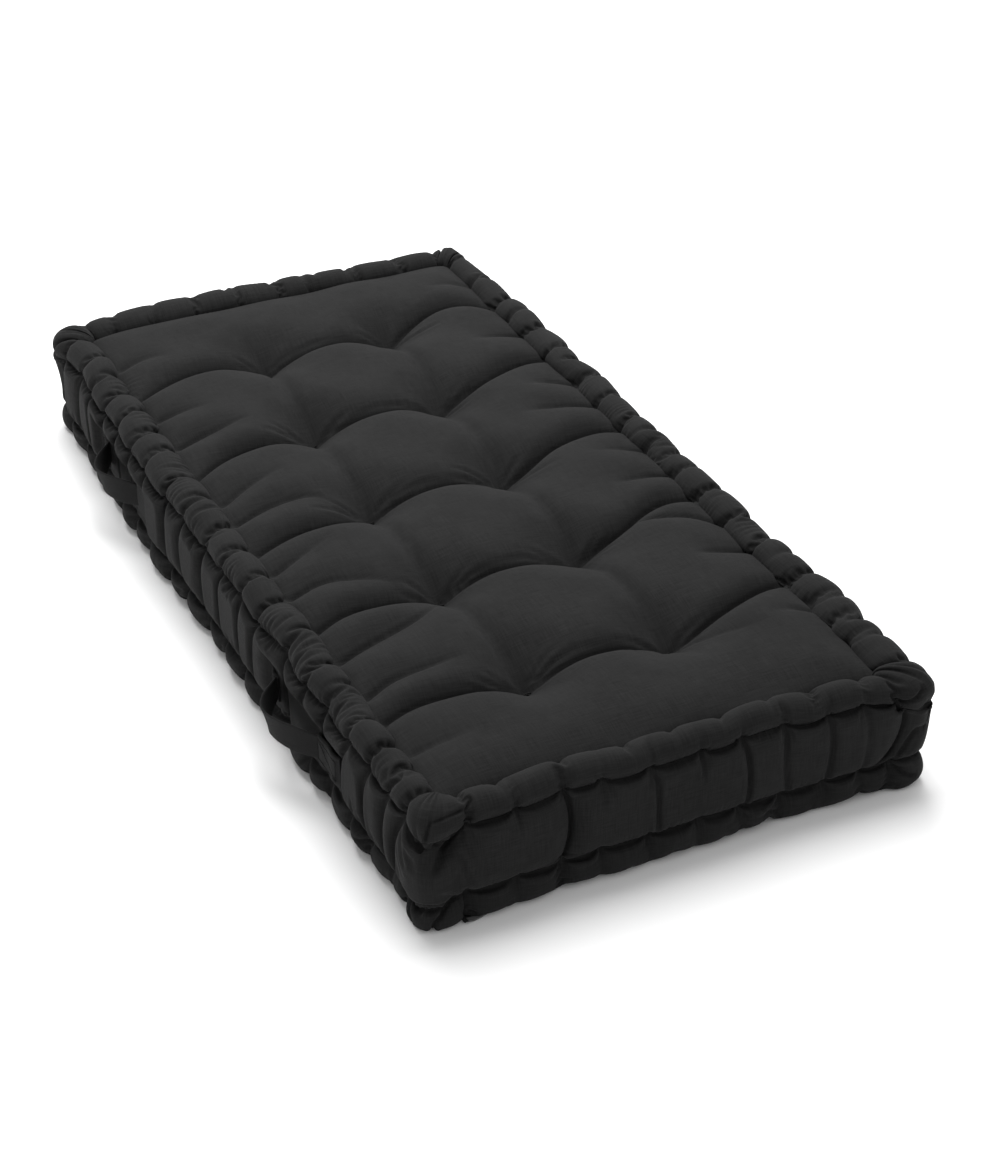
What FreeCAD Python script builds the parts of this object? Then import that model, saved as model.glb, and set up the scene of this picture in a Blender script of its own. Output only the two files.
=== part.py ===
import FreeCAD, Part
import math
import os

# Tufted floor mattress with stitched roll edges, in millimetres.
# X is the width, Y the length and Z up. The origin is the middle of the underside,
# the front short side faces -Y, and the two strap handles are on the left wall, at -X.

# Overall size.
LENGTH = 1200.0
WIDTH = 600.0
HEIGHT = 150.0

# Rolled edges: stuffed tubes that run round the top and the bottom.
ROLL_RADIUS = 20.0
ROLL_CASING = 2.0
ROLL_CLEARANCE = 0.2

# Border strips between the rolls, set back from the rolls' outer sides.
BORDER_INSET = 8.0
BORDER_THICKNESS = 3.0
BORDER_GAP_TO_ROLL = 38.2

# Top and bottom panels.
PANEL_THICKNESS = 5.0
PANEL_EDGE_INSET = 36.0
TOP_PANEL_DROP = 2.0

# Tufts: two rows of five, with hand-sewn drift of each pair across the width.
TUFT_ROW_OFFSET = 88.0
TUFT_PITCH = 200.0
TUFT_DRIFT = (5.0, -7.0, -8.0, 0.0, 16.0)
TUFT_SEAT_RADIUS = 11.0
TOP_DIMPLE_RADIUS = 78.0
TOP_DIMPLE_DEPTH = 40.0
BOTTOM_DIMPLE_RADIUS = 60.0
BOTTOM_DIMPLE_DEPTH = 26.0

# Tuft ties: a cord that goes down, across and up again.
TIE_RADIUS = 1.25
TIE_HALF_SPAN = 5.0
TIE_HOLE_RADIUS = 1.6

# Cotton batts, from the bottom up.
BATT_GAP = 0.2
CORE_BATTS = 3

# Stitches that pinch the rolls off from the border and the panels.
STITCH_RADIUS = 0.7
STITCH_PITCH = 50.0
BORDER_STITCH_LENGTH = 8.0
PANEL_STITCH_LENGTH = 4.4
PANEL_STITCH_INSET = 31.0

# Strap handles on the left wall.
HANDLE_Y = 300.0
HANDLE_Z = 72.0
HANDLE_DROOP = -12.0
HINGE_OUTSET = 8.0
STRAP_THICKNESS = 3.0
STRAP_HALF_WIDTH = 19.0
STRAP_HALF_SPAN = 60.0
STRAP_BOW = 42.0
STRAP_END_BEND = 14.0
STRAP_OUTLINE = ((60.0, 7.0), (54.0, 8.5), (47.0, 14.0), (43.0, 19.0))
SEWN_END_LENGTH = 36.0
SEWN_END_THICKNESS = 6.0
SEWN_END_GAP = 0.5
TOPSTITCH_MARGIN = 4.0
TOPSTITCH_WIDTH = 1.2
TOPSTITCH_HEIGHT = 0.6

# Label flap that lies on the floor in front of the bottom roll.
LABEL_X = (-250.0, -216.0)
LABEL_ROOT_Y = -589.0
LABEL_LENGTH = 16.0
LABEL_THICKNESS = 0.8
LABEL_Z = 0.3

HALF_LENGTH = LENGTH / 2
HALF_WIDTH = WIDTH / 2
WALL_X = -HALF_WIDTH + BORDER_INSET
HINGE_X = WALL_X - HINGE_OUTSET
TOP_PANEL_Z = HEIGHT - TOP_PANEL_DROP
TOP_SEAT_Z = TOP_PANEL_Z - TOP_DIMPLE_DEPTH
SIDES = ("front", "back", "left", "right")
X_AXIS = FreeCAD.Vector(1, 0, 0)
Y_AXIS = FreeCAD.Vector(0, 1, 0)
Z_AXIS = FreeCAD.Vector(0, 0, 1)


def vector(x, y, z):
    return FreeCAD.Vector(x, y, z)


def box(x0, x1, y0, y1, z0, z1):
    return Part.makeBox(x1 - x0, y1 - y0, z1 - z0, vector(x0, y0, z0))


def rod(start, end, radius):
    along = end.sub(start)
    return Part.makeCylinder(radius, along.Length, start, along)


def save(name, shape):
    shape.exportStep("parts/" + name + ".step")
    print(name, round(shape.Volume / 1000, 2), "cm3, valid", shape.isValid())


def group(shapes):
    return Part.makeCompound(shapes)


def fuse(shapes):
    return shapes[0].multiFuse(shapes[1:]).removeSplitter()


def is_long(side):
    return side in ("left", "right")


def outward(side):
    return -1 if side in ("front", "left") else 1


def mitre_prism(side):
    """The strip along one side, with ends cut at 45 degrees towards the corners."""
    reach = 5.0
    depth = 2 * ROLL_RADIUS + reach
    across, along = (HALF_WIDTH, HALF_LENGTH) if is_long(side) else (HALF_LENGTH, HALF_WIDTH)
    flat = [
        (across + reach, -along - reach),
        (across + reach, along + reach),
        (across - depth, along - depth),
        (across - depth, -along + depth),
    ]
    sign = outward(side)
    if is_long(side):
        points = [vector(sign * a, b, -reach) for a, b in flat]
    else:
        points = [vector(b, sign * a, -reach) for a, b in flat]
    face = Part.Face(Part.makePolygon(points + points[:1]))
    return face.extrude(vector(0, 0, HEIGHT + 2 * reach))


def roll_axis(side, z):
    """Start and end of a roll's centre line, run past both corners."""
    over = 2 * ROLL_RADIUS
    if is_long(side):
        x = outward(side) * (HALF_WIDTH - ROLL_RADIUS)
        return vector(x, -HALF_LENGTH - over, z), vector(x, HALF_LENGTH + over, z)
    y = outward(side) * (HALF_LENGTH - ROLL_RADIUS)
    return vector(-HALF_WIDTH - over, y, z), vector(HALF_WIDTH + over, y, z)


def roll_casing(side, z):
    start, end = roll_axis(side, z)
    tube = rod(start, end, ROLL_RADIUS).cut(rod(start, end, ROLL_RADIUS - ROLL_CASING))
    return tube.common(mitre_prism(side))


def roll_filling(side, z):
    start, end = roll_axis(side, z)
    core = rod(start, end, ROLL_RADIUS - ROLL_CASING - ROLL_CLEARANCE)
    return core.common(mitre_prism(side))


def border_strip(side):
    z0 = BORDER_GAP_TO_ROLL
    z1 = HEIGHT - BORDER_GAP_TO_ROLL
    edge = (HALF_WIDTH if is_long(side) else HALF_LENGTH) - BORDER_INSET
    inner = edge - BORDER_THICKNESS
    low, high = (inner, edge) if outward(side) > 0 else (-edge, -inner)
    reach = LENGTH
    if is_long(side):
        slab = box(low, high, -reach, reach, z0, z1)
    else:
        slab = box(-reach, reach, low, high, z0, z1)
    return slab.common(mitre_prism(side))


def tuft_places():
    """Each tuft's row name, number from the front, x and y."""
    places = []
    for row, sign in (("left", -1), ("right", 1)):
        for index, drift in enumerate(TUFT_DRIFT):
            y = (index - (len(TUFT_DRIFT) - 1) / 2) * TUFT_PITCH
            places.append((row, index + 1, sign * TUFT_ROW_OFFSET + drift, y))
    return places


def dimple(x, y, face_z, radius, depth, direction, shell):
    """A cone that narrows from the panel's face to a flat seat; shell thickens it all over."""
    seat = TUFT_SEAT_RADIUS + shell
    return Part.makeCone(
        radius + shell, seat, depth + shell, vector(x, y, face_z), vector(0, 0, direction)
    )


def top_dimple(x, y, shell):
    return dimple(x, y, TOP_PANEL_Z, TOP_DIMPLE_RADIUS, TOP_DIMPLE_DEPTH, -1, shell)


def bottom_dimple(x, y, shell):
    return dimple(x, y, 0, BOTTOM_DIMPLE_RADIUS, BOTTOM_DIMPLE_DEPTH, 1, shell)


def tie_holes(x, y):
    """Two narrow holes from face to face, one for each leg of a tie."""
    legs = (x - TIE_HALF_SPAN, x + TIE_HALF_SPAN)
    return [rod(vector(leg, y, -1), vector(leg, y, HEIGHT), TIE_HOLE_RADIUS) for leg in legs]


def panel(face_z, direction, make_dimple):
    """A quilted sheet between the rolls, drawn into a seat at every tuft."""
    inner_z = face_z + direction * PANEL_THICKNESS
    z0, z1 = sorted((face_z, inner_z))
    x1 = HALF_WIDTH - PANEL_EDGE_INSET
    y1 = HALF_LENGTH - PANEL_EDGE_INSET
    sheet = box(-x1, x1, -y1, y1, z0, z1)
    places = tuft_places()
    outer = [make_dimple(x, y, PANEL_THICKNESS) for _, _, x, y in places]
    inner = [make_dimple(x, y, 0) for _, _, x, y in places]
    holes = [hole for _, _, x, y in places for hole in tie_holes(x, y)]
    return fuse([sheet] + outer).cut(inner + holes)


def batt(x1, y1, z0, z1):
    """One layer of cotton felt with room for the dimples and the ties."""
    layer = box(-x1, x1, -y1, y1, z0, z1)
    shell = PANEL_THICKNESS + BATT_GAP
    tools = []
    for _, _, x, y in tuft_places():
        tools += [top_dimple(x, y, shell), bottom_dimple(x, y, shell)]
        tools += tie_holes(x, y)
    return layer.cut(tools)


def batts():
    """All layers from the bottom up; the outer two stop at the rolls."""
    roll_top = 2 * ROLL_RADIUS
    narrow = (HALF_WIDTH - roll_top - BATT_GAP, HALF_LENGTH - roll_top - BATT_GAP)
    wall = BORDER_INSET + BORDER_THICKNESS + BATT_GAP
    wide = (HALF_WIDTH - wall, HALF_LENGTH - wall)
    core_start = roll_top + BATT_GAP
    core_step = (HEIGHT - 2 * core_start + BATT_GAP) / CORE_BATTS
    layers = [batt(*narrow, PANEL_THICKNESS + BATT_GAP, roll_top)]
    for index in range(CORE_BATTS):
        z0 = core_start + index * core_step
        layers.append(batt(*wide, z0, z0 + core_step - BATT_GAP))
    top = TOP_PANEL_Z - PANEL_THICKNESS - BATT_GAP
    layers.append(batt(*narrow, HEIGHT - roll_top, top))
    return layers


def tuft_tie(x, y):
    """One closed loop of cord: two legs, a short stitch on the top and one underneath."""
    clear = TIE_RADIUS + BATT_GAP
    low = BOTTOM_DIMPLE_DEPTH - clear
    high = TOP_SEAT_Z + clear
    left, right = x - TIE_HALF_SPAN, x + TIE_HALF_SPAN
    corners = [vector(left, y, low), vector(right, y, low), vector(right, y, high), vector(left, y, high)]
    pieces = [Part.makeSphere(TIE_RADIUS, corner) for corner in corners]
    for start, end in zip(corners, corners[1:] + corners[:1]):
        pieces.append(rod(start, end, TIE_RADIUS))
    return fuse(pieces)


def stitch_positions(side):
    length = LENGTH if is_long(side) else WIDTH
    count = round(length / STITCH_PITCH)
    return [(index + 1) * length / count - length / 2 for index in range(count - 1)]


def edge_stitch(side, along, across, z, direction, length):
    """One short thread at a distance in from a side, upright or pointing inwards."""
    sign = outward(side)
    edge = HALF_WIDTH if is_long(side) else HALF_LENGTH
    a = sign * (edge - across)
    start = vector(a, along, z) if is_long(side) else vector(along, a, z)
    if direction == "in":
        step = vector(-sign * length, 0, 0) if is_long(side) else vector(0, -sign * length, 0)
    else:
        step = vector(0, 0, length)
    return rod(start, start.add(step), STITCH_RADIUS)


def edge_stitches(level):
    """The threads beside the border and beside the panel, all round one roll."""
    on_border = BORDER_INSET - STITCH_RADIUS - BATT_GAP
    border_z = BORDER_GAP_TO_ROLL
    panel_z = STITCH_RADIUS + BATT_GAP
    if level == "top":
        border_z = HEIGHT - BORDER_GAP_TO_ROLL - BORDER_STITCH_LENGTH
        panel_z = HEIGHT - panel_z
    threads = []
    for side in SIDES:
        for along in stitch_positions(side):
            threads.append(edge_stitch(side, along, on_border, border_z, "up", BORDER_STITCH_LENGTH))
            threads.append(
                edge_stitch(side, along, PANEL_STITCH_INSET, panel_z, "in", PANEL_STITCH_LENGTH)
            )
    return group(threads)


def strap_band():
    """The bowed strap in plan, centred on y = 0, as a closed face of even thickness."""
    swing = 2 * math.atan(STRAP_BOW / STRAP_HALF_SPAN)
    big = STRAP_HALF_SPAN / math.sin(swing) - STRAP_END_BEND
    bow_centre = HINGE_X - STRAP_BOW + big

    def edge(offset):
        """Three arcs: the bend at one end, the bow and the bend at the other end."""
        small_radius = STRAP_END_BEND + offset
        big_radius = big - offset
        points = []
        for sign in (-1, 1):
            centre_x, centre_y = HINGE_X - STRAP_END_BEND, sign * STRAP_HALF_SPAN
            arc = [
                vector(
                    centre_x + small_radius * math.cos(turn),
                    centre_y - sign * small_radius * math.sin(turn),
                    0,
                )
                for turn in (0, swing / 2, swing)
            ]
            points.append(arc)
        middle = vector(bow_centre - big_radius, 0, 0)
        return [
            Part.Arc(*points[0]).toShape(),
            Part.Arc(points[0][2], middle, points[1][2]).toShape(),
            Part.Arc(*points[1]).toShape(),
        ], points[0][0], points[1][0]

    inner, inner_start, inner_end = edge(STRAP_THICKNESS / 2)
    outer, outer_start, outer_end = edge(-STRAP_THICKNESS / 2)
    ends = [
        Part.LineSegment(inner_start, outer_start).toShape(),
        Part.LineSegment(inner_end, outer_end).toShape(),
    ]
    return Part.Face(Part.Wire(Part.__sortEdges__(inner + outer + ends)))


def strap_outline():
    """The strap seen from the side: full width over the bow, narrow at its two folded ends."""
    upper = [(-y, w) for y, w in STRAP_OUTLINE] + [(y, w) for y, w in reversed(STRAP_OUTLINE)]
    lower = [(y, -w) for y, w in reversed(upper)]
    points = [vector(HINGE_X - 2 * STRAP_BOW, y, w) for y, w in upper + lower]
    face = Part.Face(Part.makePolygon(points + points[:1]))
    return face.extrude(vector(3 * STRAP_BOW, 0, 0))


def handle_strap(y):
    width = 2 * STRAP_HALF_WIDTH
    band = strap_band().extrude(vector(0, 0, width))
    band.translate(vector(0, 0, -STRAP_HALF_WIDTH))
    strap = band.common(strap_outline())
    strap.rotate(vector(HINGE_X, 0, 0), Y_AXIS, HANDLE_DROOP)
    strap.translate(vector(0, y, HANDLE_Z))
    return strap


def sewn_ends(y):
    """The strap's two doubled ends, flat on the left wall."""
    start = STRAP_HALF_SPAN + SEWN_END_GAP
    outer_x = WALL_X - SEWN_END_THICKNESS
    z0, z1 = HANDLE_Z - STRAP_HALF_WIDTH, HANDLE_Z + STRAP_HALF_WIDTH
    ends = []
    for low, high in ((start, start + SEWN_END_LENGTH), (-start - SEWN_END_LENGTH, -start)):
        ends.append(box(outer_x, WALL_X, y + low, y + high, z0, z1))
    return group(ends)


def topstitching(y):
    """A box of thread near the rim of each sewn end."""
    outer_x = WALL_X - SEWN_END_THICKNESS
    rings = []
    for sign in (-1, 1):
        middle = y + sign * (STRAP_HALF_SPAN + SEWN_END_GAP + SEWN_END_LENGTH / 2)
        half_y = SEWN_END_LENGTH / 2 - TOPSTITCH_MARGIN
        half_z = STRAP_HALF_WIDTH - TOPSTITCH_MARGIN
        solid = box(
            outer_x - TOPSTITCH_HEIGHT, outer_x,
            middle - half_y, middle + half_y,
            HANDLE_Z - half_z, HANDLE_Z + half_z,
        )
        hole = box(
            outer_x - TOPSTITCH_HEIGHT, outer_x,
            middle - half_y + TOPSTITCH_WIDTH, middle + half_y - TOPSTITCH_WIDTH,
            HANDLE_Z - half_z + TOPSTITCH_WIDTH, HANDLE_Z + half_z - TOPSTITCH_WIDTH,
        )
        rings.append(solid.cut(hole))
    return group(rings)


def label_flap():
    return box(
        LABEL_X[0], LABEL_X[1],
        LABEL_ROOT_Y - LABEL_LENGTH, LABEL_ROOT_Y,
        LABEL_Z, LABEL_Z + LABEL_THICKNESS,
    )


os.makedirs("parts", exist_ok=True)

save("top_panel", panel(TOP_PANEL_Z, -1, top_dimple))
save("bottom_panel", panel(0, 1, bottom_dimple))

for side in SIDES:
    save("border_" + side, border_strip(side))

for level, roll_z in (("bottom", ROLL_RADIUS), ("top", HEIGHT - ROLL_RADIUS)):
    for side in SIDES:
        save(level + "_roll_" + side, roll_casing(side, roll_z))
    save(level + "_roll_filling", fuse([roll_filling(side, roll_z) for side in SIDES]))
    save(level + "_edge_stitches", edge_stitches(level))

for number, layer in enumerate(batts(), start=1):
    save("cotton_batt_" + str(number), layer)

for row, number, tuft_x, tuft_y in tuft_places():
    save("tuft_tie_" + row + "_" + str(number), tuft_tie(tuft_x, tuft_y))

for name, handle_y in (("front", -HANDLE_Y), ("rear", HANDLE_Y)):
    save("handle_" + name + "_strap", handle_strap(handle_y))
    save("handle_" + name + "_sewn_ends", sewn_ends(handle_y))
    save("handle_" + name + "_topstitching", topstitching(handle_y))

save("label", label_flap())
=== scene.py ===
import math

import bpy
import numpy as np
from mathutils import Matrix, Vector


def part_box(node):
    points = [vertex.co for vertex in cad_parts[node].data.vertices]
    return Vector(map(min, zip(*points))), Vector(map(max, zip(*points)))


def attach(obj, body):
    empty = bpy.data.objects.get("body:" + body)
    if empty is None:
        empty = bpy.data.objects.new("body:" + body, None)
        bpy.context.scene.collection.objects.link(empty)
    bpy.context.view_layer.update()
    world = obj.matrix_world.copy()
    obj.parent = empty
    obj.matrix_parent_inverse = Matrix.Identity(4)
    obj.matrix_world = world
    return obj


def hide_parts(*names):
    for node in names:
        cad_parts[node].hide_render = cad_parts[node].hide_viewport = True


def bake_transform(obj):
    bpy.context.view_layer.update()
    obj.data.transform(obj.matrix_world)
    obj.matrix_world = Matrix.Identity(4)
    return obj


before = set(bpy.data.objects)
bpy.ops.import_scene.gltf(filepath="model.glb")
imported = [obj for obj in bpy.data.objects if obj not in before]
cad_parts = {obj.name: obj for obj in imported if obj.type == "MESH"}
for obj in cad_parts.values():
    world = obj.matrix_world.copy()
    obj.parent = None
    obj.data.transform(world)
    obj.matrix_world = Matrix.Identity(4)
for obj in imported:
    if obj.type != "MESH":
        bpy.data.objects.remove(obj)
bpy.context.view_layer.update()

# Sizes, in metres, taken from the frame.
MM = 0.001
HALF_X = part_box("top_roll_right")[1].x
HALF_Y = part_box("top_roll_back")[1].y
TOP_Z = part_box("top_roll_front")[1].z
SIDES = ("back", "left", "front", "right")
LEVELS = ("top", "bottom")
HANDLES = ("front", "rear")
TUFT_ROWS = ("left", "right")
TUFTS_PER_ROW = 5


def tuft_place(row, number):
    low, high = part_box(f"tuft_tie_{row}_{number}")
    return (low.x + high.x) / 2, (low.y + high.y) / 2, low.z, high.z


TUFTS = {(row, n): tuft_place(row, n) for row in TUFT_ROWS for n in range(1, TUFTS_PER_ROW + 1)}
TUFT_SEAT_Z = TUFTS["left", 1][3] - 3.0 * MM


# ---------------------------------------------------------------- small helpers

def smooth(t):
    t = np.clip(t, 0.0, 1.0)
    return t * t * (3.0 - 2.0 * t)


def bell(distance, width, power=2):
    """1 at distance 0, falling softly to 0 beyond width."""
    return np.exp(-(distance / width) ** power)


def waves(x, y, size, seed, count=14):
    """Smooth noise of about unit spread: plane waves of one typical length, in all directions."""
    dice = np.random.default_rng(seed)
    total = np.zeros(np.broadcast(x, y).shape)
    for _ in range(count):
        turn = dice.uniform(0, 2 * np.pi)
        k = 2 * np.pi / (size * dice.uniform(0.7, 1.6))
        total += np.cos(k * (x * np.cos(turn) + y * np.sin(turn)) + dice.uniform(0, 2 * np.pi))
    return total / np.sqrt(count / 2)


def travelled(line):
    """Running length along a line of points (n, dimensions)."""
    return np.concatenate([[0], np.cumsum(np.linalg.norm(np.diff(line, axis=0), axis=1))])


def even_steps(line, count):
    """The points that walk a line in count equal steps, and the running length at each."""
    travel = travelled(line)
    at = np.linspace(0, travel[-1], count + 1)
    return np.stack([np.interp(at, travel, axis) for axis in np.transpose(line)], 1), at


def directions(line):
    """Unit vectors along a line of points."""
    along = np.gradient(line, axis=0)
    return along / np.linalg.norm(along, axis=1)[:, None]


def along_path(x, y, path):
    """Distance from each point to a polyline, and how far along it the nearest place is, in steps."""
    nearest, at = np.full(np.broadcast(x, y).shape, 1e9), 0.0
    for step, ((x0, y0), (x1, y1)) in enumerate(zip(path, path[1:])):
        dx, dy = x1 - x0, y1 - y0
        t = np.clip(((x - x0) * dx + (y - y0) * dy) / (dx * dx + dy * dy), 0, 1)
        away = np.hypot(x - x0 - t * dx, y - y0 - t * dy)
        at = np.where(away < nearest, step + t, at)
        nearest = np.minimum(nearest, away)
    return nearest, at


def cut_fold(relief, x, y, part, path, margin, width, lip, depth_at):
    """Cuts the sharp bottom of a fold into a relief, with the cloth rising in a soft lip beside it.
    lip is the lip's height, and its place and width in widths of the fold."""
    path = np.array(path)
    low, high = path.min(0) - margin, path.max(0) + margin
    near = part & (x > low[0]) & (x < high[0]) & (y > low[1]) & (y < high[1])
    if not near.any():
        return
    nearest, at = along_path(x[near], y[near], path)
    lip_height, lip_place, lip_width = lip
    profile = bell(nearest, width) - lip_height * bell(nearest - lip_place * width, lip_width * width)
    cut = depth_at(at) * profile
    relief[near] = np.where(np.abs(cut) > np.abs(relief[near]), cut, relief[near])


def halved(values, curved=False):
    """A point added in the middle of every step of the last axis, straight or on a smooth curve."""
    out = np.zeros(values.shape[:-1] + (2 * values.shape[-1] - 1,), values.dtype)
    out[..., ::2] = values
    out[..., 1::2] = (values[..., 1:] + values[..., :-1]) / 2
    if curved:
        before, after = 2 * values[..., :1] - values[..., 1:2], 2 * values[..., -1:] - values[..., -2:-1]
        wide = np.concatenate([before, values, after], -1)
        out[..., 1::2] = (9 * (wide[..., 1:-2] + wide[..., 2:-1]) - wide[..., :-3] - wide[..., 3:]) / 16
    return out


def finer(points, curved=False):
    """The same sheet with a point added in the middle of every step, both ways."""
    down = halved(points.transpose(0, 2, 1), curved).transpose(0, 2, 1)
    return np.ascontiguousarray(halved(down, curved))


# ---------------------------------------------------------------- cloth simulation
# A sheet is a grid of points, shape (3, rows, columns), joined by springs. Each round moves the
# ends of every spring towards its rest length, set by set, so the result is the same each run.

def spring_sets(rows, cols):
    """Slices of the two ends of the springs, in sets in which no point occurs twice."""
    every = slice(None)
    sets = []
    for start in (0, 1):
        near, far = slice(start, rows - 1, 2), slice(start + 1, rows, 2)
        sets.append(("down", (near, every), (far, every)))
        sets.append(("shear", (near, slice(0, cols - 1)), (far, slice(1, cols))))
        sets.append(("shear", (near, slice(1, cols)), (far, slice(0, cols - 1))))
        near, far = slice(start, cols - 1, 2), slice(start + 1, cols, 2)
        sets.append(("across", (every, near), (every, far)))
    for start in range(4):
        near, far = slice(start, rows - 2, 4), slice(start + 2, rows, 4)
        sets.append(("bend_down", (near, every), (far, every)))
        near, far = slice(start, cols - 2, 4), slice(start + 2, cols, 4)
        sets.append(("bend_across", (every, near), (every, far)))
    return sets


def rest_lengths(kind, a, b, down_at, across_at):
    """Rest lengths from the running lengths of the cloth along its two directions."""
    if kind in ("down", "bend_down"):
        return down_at[b] - down_at[a]
    if kind in ("across", "bend_across"):
        return across_at[b] - across_at[a]
    down = down_at[b[0], a[1]] - down_at[a[0], a[1]]
    left, right = sorted((a[1], b[1]), key=lambda part: part.start)
    across = across_at[a[0], right] - across_at[a[0], left]
    return np.sqrt(down ** 2 + across ** 2)


def make_springs(down, across, free, shear, bend):
    """down and across are the cloth's lengths between neighbouring points; free is 0 where held."""
    rows, cols = free.shape
    stiffness = {"down": 1.0, "across": 1.0, "shear": shear, "bend_down": bend, "bend_across": bend}
    down_at, across_at = np.zeros((2, rows, cols))
    down_at[1:] = np.cumsum(down, 0)
    across_at[:, 1:] = np.cumsum(across, 1)
    springs = []
    for kind, a, b in spring_sets(rows, cols):
        rest = rest_lengths(kind, a, b, down_at, across_at)
        share = stiffness[kind] / np.maximum(free[a] + free[b], 1e-6)
        springs.append((a, b, np.float32(rest), np.float32(share * free[a]), np.float32(share * free[b])))
    return springs


def relax(points, springs, free, force, hold, steps, rounds, drag=0.88):
    """Lets the sheet come to rest under force, with the springs kept and hold() as the limits."""
    every = slice(None)
    before = points.copy()
    for _ in range(steps):
        moved = points + (drag * (points - before) + force(points)) * free
        before, points = points, moved
        for _ in range(rounds):
            for a, b, rest, share_a, share_b in springs:
                end_a, end_b = points[(every,) + a], points[(every,) + b]
                gap = end_b - end_a
                length = np.sqrt(gap[0] ** 2 + gap[1] ** 2 + gap[2] ** 2) + 1e-9
                off = 1 - rest / length
                end_a += gap * (off * share_a)
                end_b -= gap * (off * share_b)
            hold(points)
    return points


# ---------------------------------------------------------------- top and bottom panels
# Creases of the top panel: points (x, y), floor heights and depths from 0 to 1, in millimetres.
# Each one is drawn down towards its floor height, so the cloth folds there.

PANEL_X = HALF_X - 34 * MM
PANEL_Y = HALF_Y - 34 * MM
PANEL_COARSE = (95, 45)
PANEL_LEVELS = ((110, 4, 0.06), (90, 4, 0.08), (90, 4, 0.08))
CROWN_Z, START_Z = 154 * MM, 146 * MM
EDGE_Z, EDGE_DIP = 136 * MM, 6 * MM
TUFT_REACH, TUFT_RADIUS = 88 * MM, 3.5 * MM
SEAT = TUFT_SEAT_Z / MM
# In millimetres: how far the crown sinks at the tufts, beside folds and at the edges; how much
# further than its floor height each crease is drawn.
TUFT_SINK, FOLD_SINK, EDGE_SINK = 40, 11, 10
CREASE_SINK = 3
# Fine folds: depth and width in millimetres, and the width from which a crease has no sharp bottom.
FOLD_DEEP, FOLD_WIDTH, BROAD_CREASE = 2.2, 2.9, 9

LEFT_CREASES = (
    (((-255, -484), (-208, -486), (-170, -481)), (138, 143, 146), (0.5, 0.3, 0), 7),
    (((-256, -416), (-208, -402), (-152, -402), "left 1"), (129, 128, 122, SEAT), (1, 0.9, 0.95, 1), 5),
    (((-256, -367), (-216, -352), (-162, -347), (-125, -350)), (132, 138, 141, 146), (1, 0.8, 0.5, 0), 5),
    (((-256, -292), (-192, -274), (-140, -257), (-112, -240)), (131, 136, 137, 140), (1, 0.85, 0.7, 0.1),
     4.5),
    (((-256, -225), (-211, -207), (-173, -203), "left 2"), (128, 128, 123, SEAT), (1, 0.95, 1, 1), 5),
    (((-256, -151), (-215, -140), (-180, -150), (-130, -176)), (132, 138, 140, 138), (1, 0.7, 0.5, 0.2), 4.5),
    (((-256, -96), (-208, -82), (-160, -60)), (134, 141, 146), (0.8, 0.4, 0), 5),
    (((-256, -44), (-198, -25), (-157, -20), "left 3"), (128, 128, 123, SEAT), (1, 0.95, 1, 1), 5),
    (((-256, 26), (-209, 44), (-172, 46), (-135, 30)), (132, 137, 140, 140), (1, 0.8, 0.6, 0.1), 5),
    (((-256, 74), (-200, 98), (-157, 106)), (135, 143, 147), (0.8, 0.4, 0), 6),
    (((-258, 151), (-219, 175), (-170, 186), "left 4"), (128, 128, 123, SEAT), (1, 0.95, 1, 1), 5),
    (((-256, 229), (-200, 246), (-158, 249)), (133, 140, 145), (1, 0.7, 0.1), 5),
    (((-256, 300), (-215, 305), (-180, 300)), (136, 143, 147), (0.7, 0.4, 0), 6),
    (((-256, 367), (-193, 398), (-146, 405), "left 5"), (130, 130, 124, SEAT), (0.9, 0.85, 0.9, 1), 5.5),
    (((-256, 450), (-220, 456), (-180, 450)), (137, 143, 147), (0.5, 0.3, 0), 7),
)
RIGHT_CREASES = (
    (((266, -361), (228, -369), (184, -382), (125, -400), "right 1"), (128, 129, 126, 118, SEAT),
     (1, 0.9, 0.95, 1, 1), 5),
    (((200, -445), (166, -440), (123, -428), (100, -410)), (146, 143, 136, 118), (0, 0.25, 0.45, 0.6), 4),
    (((266, -430), (235, -428), (205, -432)), (137, 142, 146), (0.5, 0.3, 0), 7),
    (((266, -285), (222, -280), (190, -284)), (133, 140, 146), (1, 0.6, 0), 5),
    (((266, -220), (242, -200), (198, -185), (150, -187)), (132, 137, 138, 136), (1, 0.8, 0.7, 0.2), 4.5),
    (((266, -152), (224, -148), (187, -161), (148, -185), "right 2"), (128, 128, 126, 119, SEAT),
     (1, 1, 1, 1, 1), 5),
    (((266, -94), (214, -92), (180, -99)), (134, 141, 146), (1, 0.5, 0), 5),
    (((266, -30), (225, -24), (190, -24)), (136, 143, 147), (0.7, 0.35, 0), 6),
    (((266, 33), (223, 41), (174, 30), (118, 5), "right 3"), (128, 129, 126, 117, SEAT), (1, 1, 1, 1, 1), 5),
    (((266, 100), (205, 114), (160, 106)), (133, 140, 145), (1, 0.6, 0.05), 5),
    (((266, 165), (225, 172), (195, 166)), (135, 142, 147), (0.8, 0.4, 0), 6),
    (((266, 246), (203, 238), (145, 215), "right 4"), (128, 130, 123, SEAT), (1, 1, 1, 1), 5),
    (((266, 318), (222, 322), (185, 316)), (134, 141, 146), (0.9, 0.5, 0), 5.5),
    (((266, 407), (240, 424), (197, 434), (150, 420), "right 5"), (129, 131, 129, 121, SEAT),
     (1, 0.9, 0.9, 1, 1), 5),
    (((266, 480), (225, 486), (190, 480)), (137, 143, 147), (0.5, 0.3, 0), 7),
)


def crease_point(point):
    if isinstance(point, str):
        row, number = point.split()
        return TUFTS[row, int(number)][:2]
    return point[0] * MM, point[1] * MM


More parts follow.
